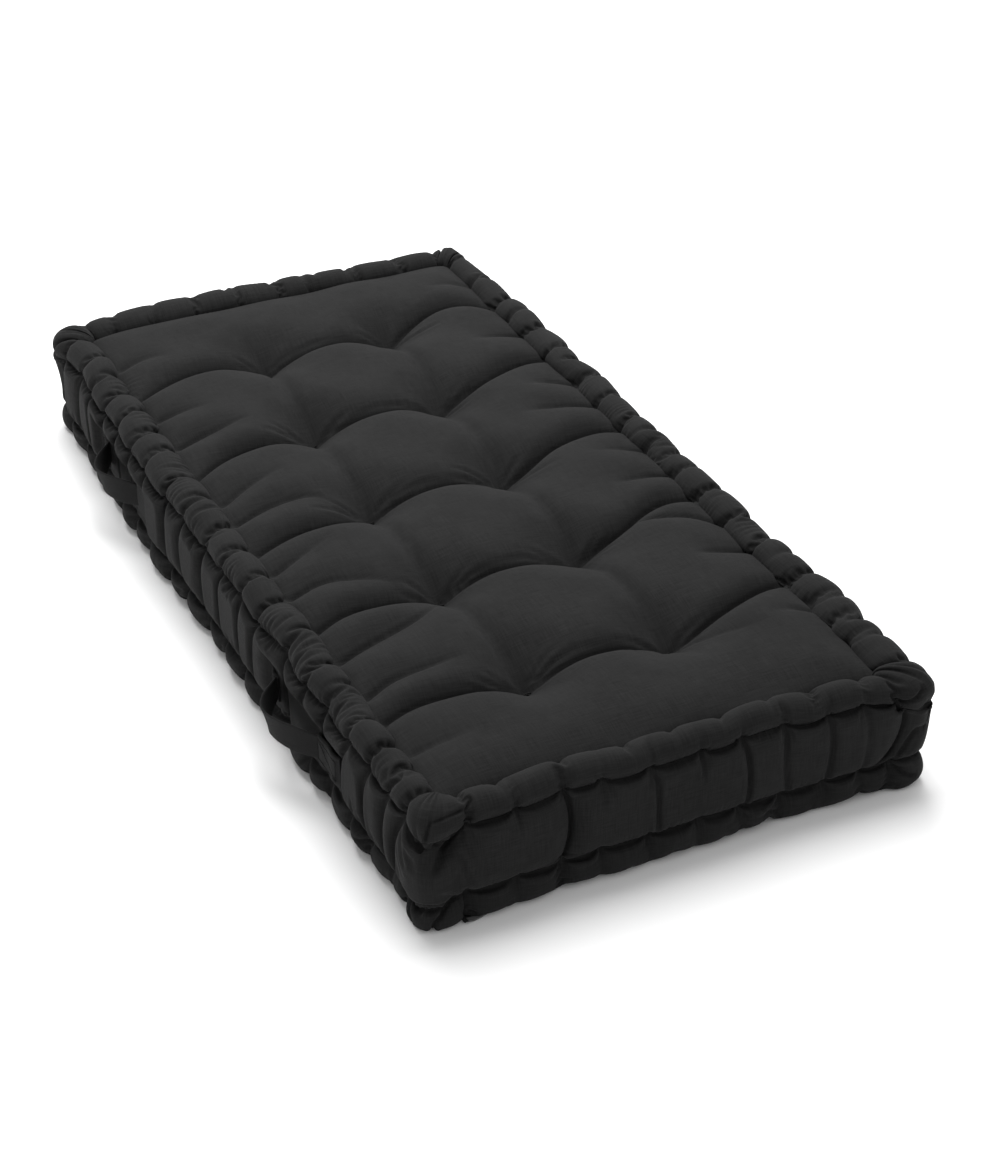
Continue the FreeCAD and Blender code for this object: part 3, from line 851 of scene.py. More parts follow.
    def make_press(self, rows):
        """The least inset of each point: more behind the handles, where their sewn ends lie flat."""
        self.pressed = np.zeros((rows, len(self.place)))
        for handle in HANDLES:
            low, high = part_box(f"handle_{handle}_sewn_ends")
            over_y = np.abs(self.place[None, :] - (low.y + high.y) / 2) - (high.y - low.y) / 2
            over_z = np.abs(self.plain[2] - (low.z + high.z) / 2) - (high.z - low.z) / 2
            pressed = smooth(1 - np.maximum(over_y, over_z) / (20 * MM))
            self.pressed = np.maximum(self.pressed, pressed * (self.side == 1) * self.on_wall[:, None])
        self.least = np.float32(-8 * MM + 10.0 * MM * self.pressed)
        single = np.float32
        self.base32, self.out32, self.tuck32 = single(self.base), single(self.out), single(self.tuck)
        self.scale32 = single((self.out ** 2).sum(0))
        self.push_x, self.push_y = single(self.out / REACH)
        self.roll_inset, self.rise = single(ROLL_R + self.sway_in), single(self.sway_up)

    def insets(self, points):
        out = (points[0] - self.base32[0]) * self.out32[0] + (points[1] - self.base32[1]) * self.out32[1]
        return np.float32(REACH) * (1 - out / self.scale32) - self.tuck32

    def force(self, points):
        """Pushes the rolls out round their centres, and the border straight out."""
        across = self.roll_inset - self.insets(points)
        upward = points[2] - self.centre_z - self.rise
        upward[self.on_wall] = 0
        round_way = np.sqrt(across ** 2 + upward ** 2)
        square_way = np.sqrt(np.sqrt(across ** 4 + upward ** 4))
        distance = round_way + self.square * (square_way - round_way) + np.float32(1e-6)
        distance[self.on_wall] = across[self.on_wall]
        push = self.gain * (self.aim - distance)
        size = np.abs(distance) + np.float32(1e-6)
        share = push * across / size
        share[self.on_wall] = push[self.on_wall]
        return np.stack([share * self.push_x, share * self.push_y, push * upward / size])

    def hold(self, points):
        """Keeps the cloth above the floor, clear of its neighbours across the seams, and closed."""
        inset = self.insets(points)
        top, bottom = self.top, self.bottom
        middle, gap = (top + bottom) // 2, np.float32(SEAM_GAP)
        roll, upper = slice(1, top), slice(top + 1, middle)
        lower, below = slice(middle, bottom), slice(bottom + 1, None)
        z = points[2]
        top_seam = np.float32(self.top_seam)
        z[upper] = np.minimum(z[upper], top_seam - gap)
        lifted = np.maximum(z[roll], top_seam + gap)
        z[roll] = np.where(inset[roll] < np.float32(self.top_inset), lifted, z[roll])
        over = np.maximum(np.float32(self.bottom_inset) - inset, 0)
        slope = np.float32(self.bottom_seam) - np.float32(0.45) * over
        z[lower] = np.maximum(z[lower], slope[lower] + gap)
        z[below] = np.where(over[below] > 0, np.minimum(z[below], slope[below] - gap), z[below])
        np.maximum(z, np.float32(FLOOR_GAP), out=z)
        short = np.maximum(self.least - inset, 0)
        short[:top + 1] = 0
        short[bottom:] = 0
        points[0] -= short * self.push_x
        points[1] -= short * self.push_y
        self.close(points)

    def close(self, points):
        """Makes the two overlapping ends of the band the same."""
        lap = self.lap
        points[:, :, :lap] = points[:, :, -2 * lap - 1:-lap - 1]
        points[:, :, -lap:] = points[:, :, lap + 1:2 * lap + 1]
        points[:, :, -lap - 1] = points[:, :, lap]

    def springs(self, free, bend):
        """The band's cloth, cut longer than its frame so that it gathers."""
        on_wall = self.on_wall[:, None]
        wobble = waves(self.travel[None, :], self.run[:, None], 0.09, 31)
        slack = np.where(on_wall, pick(WALL_SLACK, self.side), pick(ROLL_SLACK, self.side))
        slack = slack * (1 - 0.6 * bell(self.from_corner, 45 * MM)) * (1 + 0.35 * wobble)
        slack = slack * (1 - 0.75 * self.pressed)
        girth = np.where(on_wall, 0.07, pick(ROLL_GIRTH, self.side)) + 0.012 * wobble
        girth = girth - 0.15 * (1 - self.bead) * self.depth
        down, across = (np.sqrt((np.diff(self.plain, axis=axis) ** 2).sum(0)) for axis in (1, 2))
        return make_springs(down * (1 + girth[1:]), across * (1 + slack[:, 1:]), free, 0.3, bend)


def band_points():
    """The whole band at rest, and its geometry; held along its four seams."""
    base, out = make_stations(STATION)
    section = band_section()
    points = None
    for level, relaxing in enumerate(BAND_LEVELS):
        if level:
            base, out = halved(base), halved(out)
            points = finer(points, curved=not relaxing)
        inset, height, run = (v[:: 2 ** (len(BAND_LEVELS) - 1 - level)] for v in section)
        band = Band(base, out, inset, height, run, level)
        points = np.float32(points if level else band.plain)
        band.pin(points)
        free = np.ones(points.shape[1:], np.float32)
        free[list(band.held)] = 0
        if relaxing:
            steps, rounds, bend = relaxing
            points = relax(points, band.springs(free, bend), free, band.force, band.hold, steps, rounds)
    points = points - outward_normals(points) * np.float32(band_relief(band) * free)
    points[2] = np.maximum(points[2], FLOOR_GAP)
    band.close(points)
    return points, band


def outward_normals(points):
    down, along = np.gradient(points, axis=1), np.gradient(points, axis=2)
    normal = np.cross(down, along, axis=0)
    return normal / (np.sqrt((normal ** 2).sum(0)) + 1e-9)


def band_relief(band):
    """Fine folds that fan out from every pinch, and the sharp bottoms of the creases and folds."""
    dice = np.random.default_rng(77)
    shape = len(band.run), len(band.place)
    run, place = np.broadcast_to(band.run[:, None], shape), np.broadcast_to(band.place, shape)
    top_run, bottom_run, end_run = band.run[band.top], band.run[band.bottom], band.run[-1]
    relief = np.zeros(shape)

    def fold(name, path, depth, width, both_ways=False):
        last = len(path) - 1

        def depth_at(at):
            share = at / last
            return depth * smooth((1 - share) / 0.6) * (0.4 + 0.6 * smooth(share / 0.1))

        here = band.side == SIDES.index(name)
        for way in (path, path[::-1])[:1 + both_ways]:
            cut_fold(relief, place, run, here, way, 4 * width, width, (0.35, 2.1, 1.1), depth_at)

    for name in SIDES:
        inner, outer = INNER_MARKS[name], OUTER_MARKS[name]
        for marks, start, way, reach in (
            (inner, 0.0, 1, 26), (inner, end_run, -1, 26), (outer, top_run, -1, 24),
            (outer, bottom_run, 1, 24), (outer, top_run, 1, 30), (outer, bottom_run, -1, 22),
        ):
            on_wall = top_run < start + way * MM < bottom_run
            for mark in marks:
                for _ in range(dice.integers(1, 3) if on_wall else dice.integers(2, 5)):
                    lean = dice.uniform(-15, 15) * MM
                    length = reach * dice.uniform(0.4, 1.0) * MM
                    bend = dice.uniform(-3, 3) * MM
                    t = np.linspace(0, 1, 5)
                    across = mark * MM + lean * (0.25 + 0.75 * t) + bend * np.sin(np.pi * t)
                    path = np.column_stack([across, start + way * length * t])
                    depth = PINCH_DEPTH[name] * dice.uniform(0.7, 1.7) * MM
                    fold(name, path, depth, dice.uniform(1.5, 2.6) * MM)
        t = np.linspace(0, 1, 9)
        for start, end, bow, depth in BORDER_CREASES.get(name, ()):
            across = (start + (end - start) * t + 4 * bow * t * (1 - t)) * MM
            path = np.column_stack([across, top_run + (bottom_run - top_run) * t])
            fold(name, path, CREASE_CUT * depth * MM, 3 * MM, both_ways=True)
    for name, path, depth, width in CORNER_FOLDS:
        path = [(at * MM, np.interp(level, range(4), (0, top_run, bottom_run, end_run))) for at, level in path]
        fold(name, path, CREASE_CUT * depth * MM, (1.0 + 0.35 * width) * MM, both_ways=True)
    return relief


# ---------------------------------------------------------------- meshes

def new_piece(name, points, faces, body, replaced, cloth=None, sharp=()):
    """A mesh object from points (n, 3) and faces, riding on a body in place of CAD nodes.
    cloth gives each point's place on the flat cloth, in metres, for the weave."""
    mesh = bpy.data.meshes.new(name)
    points = np.asarray(points, np.float32)
    mesh.from_pydata(points.tolist(), [], faces)
    mesh.polygons.foreach_set("use_smooth", np.ones(len(mesh.polygons), bool))
    spread = np.zeros((len(points), 3), np.float32)
    spread[:, :2] = points[:, :2] if cloth is None else cloth
    mesh.attributes.new("cloth", "FLOAT_VECTOR", "POINT").data.foreach_set("vector", spread.ravel())
    if len(sharp):
        edge_sharp = mesh.attributes.new("sharp_edge", "BOOLEAN", "EDGE")
        marked = {tuple(sorted(edge)) for edge in sharp}
        edge_sharp.data.foreach_set("value", [tuple(sorted(e.vertices)) in marked for e in mesh.edges])
    mesh.validate()
    piece = bpy.data.objects.new(name, mesh)
    bpy.context.scene.collection.objects.link(piece)
    if replaced:
        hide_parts(*replaced)
    if body:
        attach(piece, body)
    return piece


def flat_list(grid):
    """Points (axes, rows, cols) as one list of points (n, axes)."""
    return grid.reshape(len(grid), -1).T


def ring_edges(ring):
    return [(int(a), int(b)) for a, b in zip(ring, np.roll(ring, -1))]


def tube_faces(rows, cols):
    """Quads of a closed tube: rows go round and join up, cols run along it. Ends are capped."""
    grid = np.arange(rows * cols).reshape(rows, cols)
    after = np.roll(grid, -1, 0)
    quads = np.stack([grid[:, :-1], grid[:, 1:], after[:, 1:], after[:, :-1]], -1).reshape(-1, 4)
    caps = [grid[:, 0].tolist(), grid[::-1, -1].tolist()]
    return quads.tolist() + caps, ring_edges(grid[:, 0]) + ring_edges(grid[:, -1])


def sheet_faces(rows, cols):
    """Quads of a grid of points, and the loop of points round its rim."""
    grid = np.arange(rows * cols).reshape(rows, cols)
    quads = np.stack([grid[:-1, :-1], grid[:-1, 1:], grid[1:, 1:], grid[1:, :-1]], -1).reshape(-1, 4)
    return quads, np.concatenate([grid[0, :-1], grid[:-1, -1], grid[-1, :0:-1], grid[:0:-1, 0]])


def wall_faces(rim, other):
    """Quads between two loops of points."""
    return np.stack([rim, other, np.roll(other, -1), np.roll(rim, -1)], -1).tolist()


def slab_faces(rows, cols):
    """Faces of a closed slab whose points are one grid above and the same grid below it."""
    quads, rim = sheet_faces(rows, cols)
    below = rows * cols
    return quads.tolist() + (quads[:, ::-1] + below).tolist() + wall_faces(rim, rim + below)


def turned_over(faces):
    return [face[::-1] for face in faces]


def loop_piece(name, points, cloth, replaced):
    """One closed strip of the band: points (3, rows, cols), with the rows joined into a loop."""
    faces, rims = tube_faces(*points.shape[1:])
    return new_piece(
        name, flat_list(points), turned_over(faces), "mattress", replaced,
        flat_list(cloth), rims)


def band_pieces(points, band):
    """The band cut at its corners into top rolls, borders and bottom rolls, each one closed."""
    start, end = band.lap, points.shape[2] - band.lap - 1
    top, bottom, side = band.top, band.bottom, band.side
    edges = [start] + [c for c in range(start + 1, end) if side[c] != side[c - 1]] + [end]
    cloth = np.stack(np.broadcast_arrays(band.travel[None, :], band.run[:, None])).astype(np.float32)
    count = len(band.place)
    back = [
        band.place_points(np.full(count, BORDER_THICKNESS), np.full(count, z))[:, None]
        for z in (BOTTOM_CENTRE_Z + 30 * MM, TOP_CENTRE_Z - 30 * MM)
    ]
    wall = np.concatenate([points[:, top:bottom + 1]] + back, 1)
    wall_rows = list(range(top, bottom + 1)) + [bottom, top]
    strips = (
        ("top_roll", "casing", points[:, :top + 1], cloth[:, :top + 1]),
        ("border", "cover", wall, cloth[:, wall_rows]),
        ("bottom_roll", "casing", points[:, bottom:], cloth[:, bottom:]),
    )
    made = []
    for first, last in zip(edges, edges[1:]):
        name = SIDES[side[(first + last) // 2]]
        part = slice(first, last + 1)
        for kind, cover, strip, places in strips:
            node = f"{kind}_{name}"
            made.append(loop_piece(f"{node}_{cover}", strip[:, :, part], places[:, :, part], [node]))
    return made


def panel_piece(name, points, cloth, floor_z, replaced):
    """A panel closed by a skirt down to floor_z and a flat back, all of it inside the filling."""
    quads, rim = sheet_faces(*points.shape[1:])
    flat, cloth = flat_list(points), flat_list(cloth)
    low = flat[rim].copy()
    low[:, 2] = floor_z
    skirt = np.arange(len(flat), len(flat) + len(rim))
    faces = quads.tolist() + wall_faces(rim, skirt) + [skirt[::-1].tolist()]
    if floor_z > flat[:, 2].mean():
        faces = turned_over(faces)
    return new_piece(
        name, np.concatenate([flat, low]), faces, "mattress", replaced,
        np.concatenate([cloth, cloth[rim]]), ring_edges(rim) + ring_edges(skirt),
    )


PRESSED_FLAT = 0.62


def bottom_panel_points(top):
    """The same quilting seen from below, pressed flat where the mattress lies on the floor."""
    depth = np.maximum(150 * MM - top[2] - 3 * MM, 0)
    return np.stack([top[0], top[1], 0.6 * MM + PRESSED_FLAT * depth])


BATT_SHARES = (0.0, 0.24, 0.42, 0.60, 0.78, 1.0)
BATT_BLOCK = 8


def lowest_around(values, block):
    """The lowest value in and around each block of the grid."""
    rows, cols = (n // block for n in values.shape)
    cut = values[:rows * block, :cols * block].reshape(rows, block, cols, block).min((1, 3))
    wide = np.pad(cut, 1, "edge")
    return np.min([wide[i:i + rows, j:j + cols] for i in range(3) for j in range(3)], 0)


def batt_pieces(panel):
    """The five cotton batts, squeezed between the panels and drawn in at the tufts."""
    top = lowest_around(panel[2].astype(float), BATT_BLOCK) - 9 * MM
    bottom = 5 * MM + PRESSED_FLAT * np.maximum(146 * MM - top - 9 * MM, 0)
    share_x, share_y = 0.985, 0.99
    x, y = panel_grid(*top.shape)
    x, y = x * share_x, y * share_y
    from_rim = np.minimum(PANEL_X * share_x - np.abs(x), PANEL_Y * share_y - np.abs(y))
    shrink = 0.3 * MM + 2 * MM * np.exp(-from_rim / (8 * MM))
    faces = slab_faces(*top.shape)
    made = []
    for number, (low, high) in enumerate(zip(BATT_SHARES, BATT_SHARES[1:]), start=1):
        over = bottom + (top - bottom) * high - shrink
        under = bottom + (top - bottom) * low + shrink
        points = np.concatenate([flat_list(np.stack([x, y, z])) for z in (over, under)])
        node = f"cotton_batt_{number}"
        made.append(new_piece(f"{node}_felt", points, faces, "mattress", [node]))
    return made


def roll_filling_piece(level, band):
    """The rope of felt inside the rolls of one level, all round, thinner where thread pinches it."""
    on_top = level == "top"
    picked = np.arange(band.lap, len(band.place) - band.lap - 1, 4)
    centre_z = TOP_CENTRE_Z + 1 * MM - band.drop if on_top else BOTTOM_CENTRE_Z
    radius = (7.5 + 2.0 * band.beads[1]) * MM
    rings = [
        band.place_points(21 * MM - radius * np.cos(turn), centre_z + radius * np.sin(turn))[:, picked]
        for turn in np.linspace(0, 2 * np.pi, 12, endpoint=False)
    ]
    points = np.stack(rings, 1)
    grid = np.arange(points[0].size).reshape(points[0].shape)
    after, beside = np.roll(grid, -1, 0), np.roll(grid, -1, 1)
    faces = np.stack([grid, beside, np.roll(after, -1, 1), after], -1).reshape(-1, 4).tolist()
    node = f"{level}_roll_filling"
    return new_piece(f"{node}_felt", flat_list(points), faces, "mattress", [node])


# ---------------------------------------------------------------- cords, threads and straps

def strand_mesh(paths, radius, sides=6):
    """Round strands along lists of points, with capped ends: points, faces and cloth places."""
    points, faces, cloth = [], [], []
    turns = 2 * np.pi * np.arange(sides) / sides
    for path in paths:
        path = np.asarray(path, float)
        along = directions(path)
        up = np.tile([0.0, 0.0, 1.0], (len(path), 1))
        up[np.abs(along[:, 2]) > 0.9] = (1.0, 0.0, 0.0)
        across = np.cross(along, up)
        across /= np.linalg.norm(across, axis=1)[:, None]
        up = np.cross(across, along)
        first = len(points)
        for centre, run, right, rise in zip(path, travelled(path), across, up):
            for turn in turns:
                points.append(centre + radius * (math.cos(turn) * right + math.sin(turn) * rise))
                cloth.append((run, radius * turn))
        for ring in range(first, len(points) - sides, sides):
            for k in range(sides):
                a, b = ring + k, ring + (k + 1) % sides
                faces.append((a, a + sides, b + sides, b))
        faces.append(list(range(first, first + sides)))
        faces.append(list(range(len(points) - 1, len(points) - sides - 1, -1)))
    return np.array(points), faces, np.array(cloth)


def twisted(path, radius, pitch, plies=2):
    """The centre lines of plies wound round a path."""
    path = np.asarray(path, float)
    count = max(8, int(travelled(path)[-1] / (0.18 * pitch)))
    line, at = even_steps(path, count - 1)
    along = directions(line)
    side = np.cross(along, (0.13, 0.31, 0.94))
    side /= np.linalg.norm(side, axis=1)[:, None]
    other = np.cross(along, side)
    strands = []
    for ply in range(plies):
        turn = 2 * np.pi * (at / pitch + ply / plies)
        strands.append(line + radius * (np.cos(turn)[:, None] * side + np.sin(turn)[:, None] * other))
    return strands


def tuft_tie_pieces():
    """Each tie is a two-ply cord: a loop through the mattress, a knot on the seat and two tails."""
    dice = np.random.default_rng(5)
    made = []
    for (row, number), (x, y, low_z, high_z) in TUFTS.items():
        span = 5 * MM
        top_z, bottom_z = high_z - 0.6 * MM, low_z + 1.2 * MM
        loop = [
            (x + aside * span, y, z) for aside, z in (
                (-1, bottom_z), (-1, top_z - 2 * MM), (-0.6, top_z), (0.6, top_z),
                (1, top_z - 2 * MM), (1, bottom_z), (-1, bottom_z))
        ]
        t = np.linspace(0, 2 * np.pi, 26)
        lifted = top_z + 1.1 * MM + 0.9 * MM * np.cos(3 * t)
        knot = np.column_stack([x + 1.6 * MM * np.sin(2 * t), y + 1.9 * MM * np.sin(t), lifted])
        paths = twisted(loop, 0.55 * MM, 3.2 * MM) + [knot]
        t = np.linspace(0, 1, 7)
        for sign in (-1, 1):
            turn = dice.uniform(-0.7, 0.7)
            tip = sign * dice.uniform(6, 10) * MM
            rise = top_z + 1.6 * MM + 3.0 * MM * t * (1 - t)
            tail = np.column_stack([x + t * tip * math.cos(turn), y + t * tip * math.sin(turn), rise])
            paths += twisted(tail, 0.4 * MM, 2.6 * MM)
        points, faces, cloth = strand_mesh(paths, 0.6 * MM)
        node = f"tuft_tie_{row}_{number}"
        made.append(new_piece(f"{node}_cord", points, faces, "mattress", [node], cloth))
    return made


def edge_stitch_piece(level, points, band):
    """The threads that pinch a roll off: one in each pinch beside the border and beside the panel."""
    on_top = level == "top"
    outer_row, inner_row = (band.top, 0) if on_top else (band.bottom, points.shape[1] - 1)
    lift = np.array([0, 0, 1 if on_top else -1])
    paths = []
    for index, name in enumerate(SIDES):
        here = np.where(band.side == index)[0]
        for marks, row in ((OUTER_MARKS[name], outer_row), (INNER_MARKS[name], inner_row)):
            for mark in marks:
                col = here[np.argmin(np.abs(band.place[here] - mark * MM))]
                outward = np.append(band.out[:, col] / np.linalg.norm(band.out[:, col]), 0)
                centre = points[:, row, col].astype(float)
                if row == outer_row:
                    t = np.linspace(-5, 4, 8)[:, None]
                    aside = outward * 0.8 + lift * t + outward * (1.2 - 0.05 * t * t)
                else:
                    t = np.linspace(-4, 4, 8)[:, None]
                    aside = outward * -0.6 + outward * t + lift * (1.4 - 0.06 * t * t)
                paths += twisted(centre + aside * MM, 0.35 * MM, 2.2 * MM)
    made_points, faces, cloth = strand_mesh(paths, 0.42 * MM, 5)
    made_points[:, 2] = np.maximum(made_points[:, 2], 0.3 * MM)
    node = f"{level}_edge_stitches"
    return new_piece(f"{node}_thread", made_points, faces, "mattress", [node], cloth)


def ribbon(path, widths, across, thickness, bulge=0.0):
    """A closed flat strap along a path, rounded at its rims, with its own cloth places.
    widths and across give its width and the way across it, at each point of the path."""
    path = np.asarray(path, float)
    across = np.broadcast_to(across, path.shape)
    normal = np.cross(directions(path), across)
    run = travelled(path)
    shares = (-1.0, -0.97, -0.9, -0.6, -0.3, 0.0, 0.3, 0.6, 0.9, 0.97, 1.0)
    depths = (0.15, 0.75, 1.0, 0.92, 0.97, 1.0, 0.97, 0.92, 1.0, 0.75, 0.15)
    rim = [(share, depth) for share, depth in zip(shares, depths)]
    rows, cloth = [], []
    for face, order in ((1, rim), (-1, rim[::-1])):
        for share, depth in order:
            aside = share * widths / 2
            rise = face * depth * thickness / 2 + bulge * (1 - share ** 2)
            rows.append(path + across * aside[:, None] + normal * rise)
            cloth.append(np.column_stack([run, aside]))
    return np.array(rows).transpose(2, 0, 1), np.array(cloth).transpose(2, 0, 1)


# How far each handle lies from its CAD place along the wall, and where along it, from -1 to 1, its
# bow stands furthest out.
HANDLE_SHIFT = {"front": 21 * MM, "rear": 10 * MM}
HANDLE_APEX = {"front": 0.2, "rear": 0.1}
STITCH_LENGTH = 3.4 * MM


def handle_place(handle):
    """The CAD boxes of a handle's strap and sewn ends, and the middle of the visible one in y and z."""
    low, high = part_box(f"handle_{handle}_strap")
    ends_low, ends_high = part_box(f"handle_{handle}_sewn_ends")
    middle_y = (low.y + high.y) / 2 + HANDLE_SHIFT[handle]
    return low, high, ends_low, ends_high, middle_y, (ends_low.z + ends_high.z) / 2


def strap_piece(handle):
    """The free part of a handle: a bowed strap that bends off the border."""
    low, high, ends_low, _, middle_y, middle_z = handle_place(handle)
    root_x, tip_x = ends_low.x - 6 * MM, low.x + 10 * MM
    half = (high.y - low.y) / 2 + 3 * MM
    t, apex = np.linspace(-1, 1, 61), HANDLE_APEX[handle]
    out = (1 - np.abs((t - apex) / np.where(t > apex, 1 - apex, 1 + apex)) ** 1.75) ** 1.12
    path = np.column_stack([
        root_x + 1.5 * MM - (root_x - tip_x) * out, middle_y + half * t, middle_z - 4 * MM * out])
    lean = math.radians(14) * out
    across = np.column_stack([-np.sin(lean), 0 * lean, np.cos(lean)])
    share = travelled(path) / travelled(path)[-1]
    widths = (30 + 9 * np.minimum(1.0, 4.2 * np.minimum(share, 1 - share))) * MM
    points, cloth = ribbon(path, widths, across, 2.4 * MM, 1.2 * MM)
    faces, rims = tube_faces(*points.shape[1:])
    strap = new_piece(
        f"handle_{handle}_strap_web", flat_list(points), faces, None,
        [f"handle_{handle}_strap"], flat_list(cloth), rims)
    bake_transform(strap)
    return strap


def box_stitches(centre, half_y, half_z):
    """Stitches round a box and along one diagonal of it, each one an arc out of the cloth."""
    corners = [(-1, -1), (1, -1), (1, 1), (-1, 1), (-1, -1)]
    stitches = []
    for (ay, az), (by, bz) in list(zip(corners, corners[1:])) + [((-1, -1), (1, 1))]:
        count = int(math.hypot((by - ay) * half_y, (bz - az) * half_z) / STITCH_LENGTH)
        for n in range(count):
            share = np.linspace(0, 1, 5)
            t = (n + 0.12 + 0.76 * share) / count
            lift = 0.7 * MM * np.sin(np.pi * share)
            stitches.append(np.column_stack([
                centre[0] - lift,
                centre[1] + half_y * (ay + (by - ay) * t),
                centre[2] + half_z * (az + (bz - az) * t)]))
    return stitches


def sewn_end_pieces(handle):
    """The two ends of a handle, sewn flat on the border with box stitching."""
    low, high, ends_low, ends_high, middle_y, middle_z = handle_place(handle)
    face_x = ends_low.x - 5 * MM
    points, cloth, faces, rims, threads = [], [], [], [], []
    t = np.linspace(-1, 1, 25)
    for sign, outer_y in ((-1, ends_low.y), (1, ends_high.y)):
        inner_y = middle_y + sign * ((high.y - low.y) / 2 - 2 * MM)
        wavy_x = face_x + 1.0 * MM + 2.0 * MM * np.abs(t) ** 3 - 0.9 * MM * np.sin(5 * t + sign)
        line = np.column_stack([wavy_x, inner_y + (outer_y - inner_y) * (t + 1) / 2, middle_z + 0.8 * MM * t])
        widths = (34 + 5 * travelled(line) / travelled(line)[-1]) * MM
        patch, places = ribbon(line, widths, (0, 0, 1), 4.5 * MM)
        patch_faces, patch_rims = tube_faces(*patch.shape[1:])
        first = sum(len(p) for p in points)
        points.append(flat_list(patch))
        cloth.append(flat_list(places))
        faces += [[first + v for v in face] for face in patch_faces]
        rims += [(first + a, first + b) for a, b in patch_rims]
        centre = (face_x - 1.3 * MM, (outer_y + inner_y) / 2, middle_z)
        threads += box_stitches(centre, abs(outer_y - inner_y) / 2 - 5 * MM, 13 * MM)
    ends = new_piece(
        f"handle_{handle}_ends_web", np.concatenate(points), faces, "mattress",
        [f"handle_{handle}_sewn_ends"], np.concatenate(cloth), rims)
    points, faces, cloth = strand_mesh(threads, 0.42 * MM)
    stitching = new_piece(
        f"handle_{handle}_box_stitching", points, faces, "mattress",
        [f"handle_{handle}_topstitching"], cloth)
    return ends, stitching


LABEL_WIDTH, LABEL_DEPTH = 27 * MM, 14.5 * MM


def label_pieces():
    """The blank tape label: a folded-over tape that lies on the floor, a little wavy, and its hem."""
    low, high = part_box("label")
    rows, cols = 9, 29
    v, u = np.meshgrid(np.linspace(0, 1, rows), np.linspace(0, 1, cols), indexing="ij")
    x = low.x + LABEL_WIDTH * u
    y = high.y + 3 * MM - LABEL_DEPTH * v + 5 * MM * u * v
    wave = 0.9 * np.sin(u * 7.0 + 1.0) * v + 2.4 * v * (1 - u) ** 2
    under = low.z + (0.25 + np.maximum(wave, 0)) * MM
    over = under + (0.7 + 0.35 * (1 - v)) * MM
    points = np.concatenate([flat_list(np.stack([x, y, z])) for z in (over, under)])
    cloth = flat_list(np.stack([u * LABEL_WIDTH, v * LABEL_DEPTH]))
    tape = new_piece(
        "label_tape_flap", points, turned_over(slab_faces(rows, cols)), "label_flap", ["label"],
        np.concatenate([cloth, cloth]))
    hem_rows = [np.column_stack([x[k], y[k], over[k] + 0.3 * MM])[5:] for k in (-1, -2, -3, -4)]
    points, faces, cloth = strand_mesh(hem_rows, 0.95 * MM, 8)
    return tape, new_piece("label_hem_edge", points, faces, "label_flap", None, cloth)


# ---------------------------------------------------------------- materials

class Nodes:
    """Short calls for building a node tree."""

    def __init__(self, name, **shading):
        self.material = bpy.data.materials.new(name)
        self.material.use_nodes = True
        self.tree = self.material.node_tree
        self.tree.nodes.clear()
        output = self.add("ShaderNodeOutputMaterial")
        self.shader = self.add("ShaderNodeBsdfPrincipled")
        self.link(self.shader.outputs[0], output.inputs[0])
        self.fill(self.shader, **shading)

    def add(self, kind, **values):
        node = self.tree.nodes.new(kind)
        for key, value in values.items():
            setattr(node, key, value)
        return node

    def fill(self, node, **values):
        """Sets a node's sockets; a socket's name is written with _ for each space."""
        for name, value in values.items():
            node.inputs[name.replace("_", " ")].default_value = value
        return node

    def link(self, source, target):
        self.tree.links.new(source, target)

    def cloth_place(self):
        return self.add("ShaderNodeAttribute", attribute_name="cloth").outputs["Vector"]

    def math(self, operation, a, b=0.0, c=0.0):
        node = self.add("ShaderNodeMath", operation=operation)
        for socket, value in zip(node.inputs, (a, b, c)):
            if isinstance(value, (int, float)):
                socket.default_value = value
            else:
                self.link(value, socket)
        return node.outputs[0]

    def noise(self, vector, scale, detail=3.0, roughness=0.55):
        node = self.fill(self.add("ShaderNodeTexNoise"), Scale=scale, Detail=detail, Roughness=roughness)
        self.link(vector, node.inputs["Vector"])
        return node.outputs["Fac"]

    def centred(self, value):
        return self.math("SUBTRACT", value, 0.5)

    def scaled(self, vector, x, y, z=1.0):
        node = self.fill(self.add("ShaderNodeMapping"), Scale=(x, y, z))
        self.link(vector, node.inputs["Vector"])
        return node.outputs[0]

    def colour(self, value, stops):
        """The base colour, by a value's place among the stops."""
        node = self.add("ShaderNodeValToRGB")
        elements = node.color_ramp.elements
        while len(elements) < len(stops):
            elements.new(0.5)
        for element, (at, colour) in zip(elements, stops):
            element.position = at
            element.color = (*colour, 1)
        self.link(value, node.inputs[0])
        self.link(node.outputs[0], self.shader.inputs["Base Color"])

    def bump(self, height, distance, strength=1.0):
        """Adds a bump to the surface, over any bump that it has already."""
        node = self.fill(self.add("ShaderNodeBump"), Distance=distance, Strength=strength)
        self.link(height, node.inputs["Height"])
        normal = self.shader.inputs["Normal"]
        if normal.is_linked:
            self.link(normal.links[0].from_socket, node.inputs["Normal"])
        self.link(node.outputs[0], normal)


def grey(value):
    return (value, value, value)


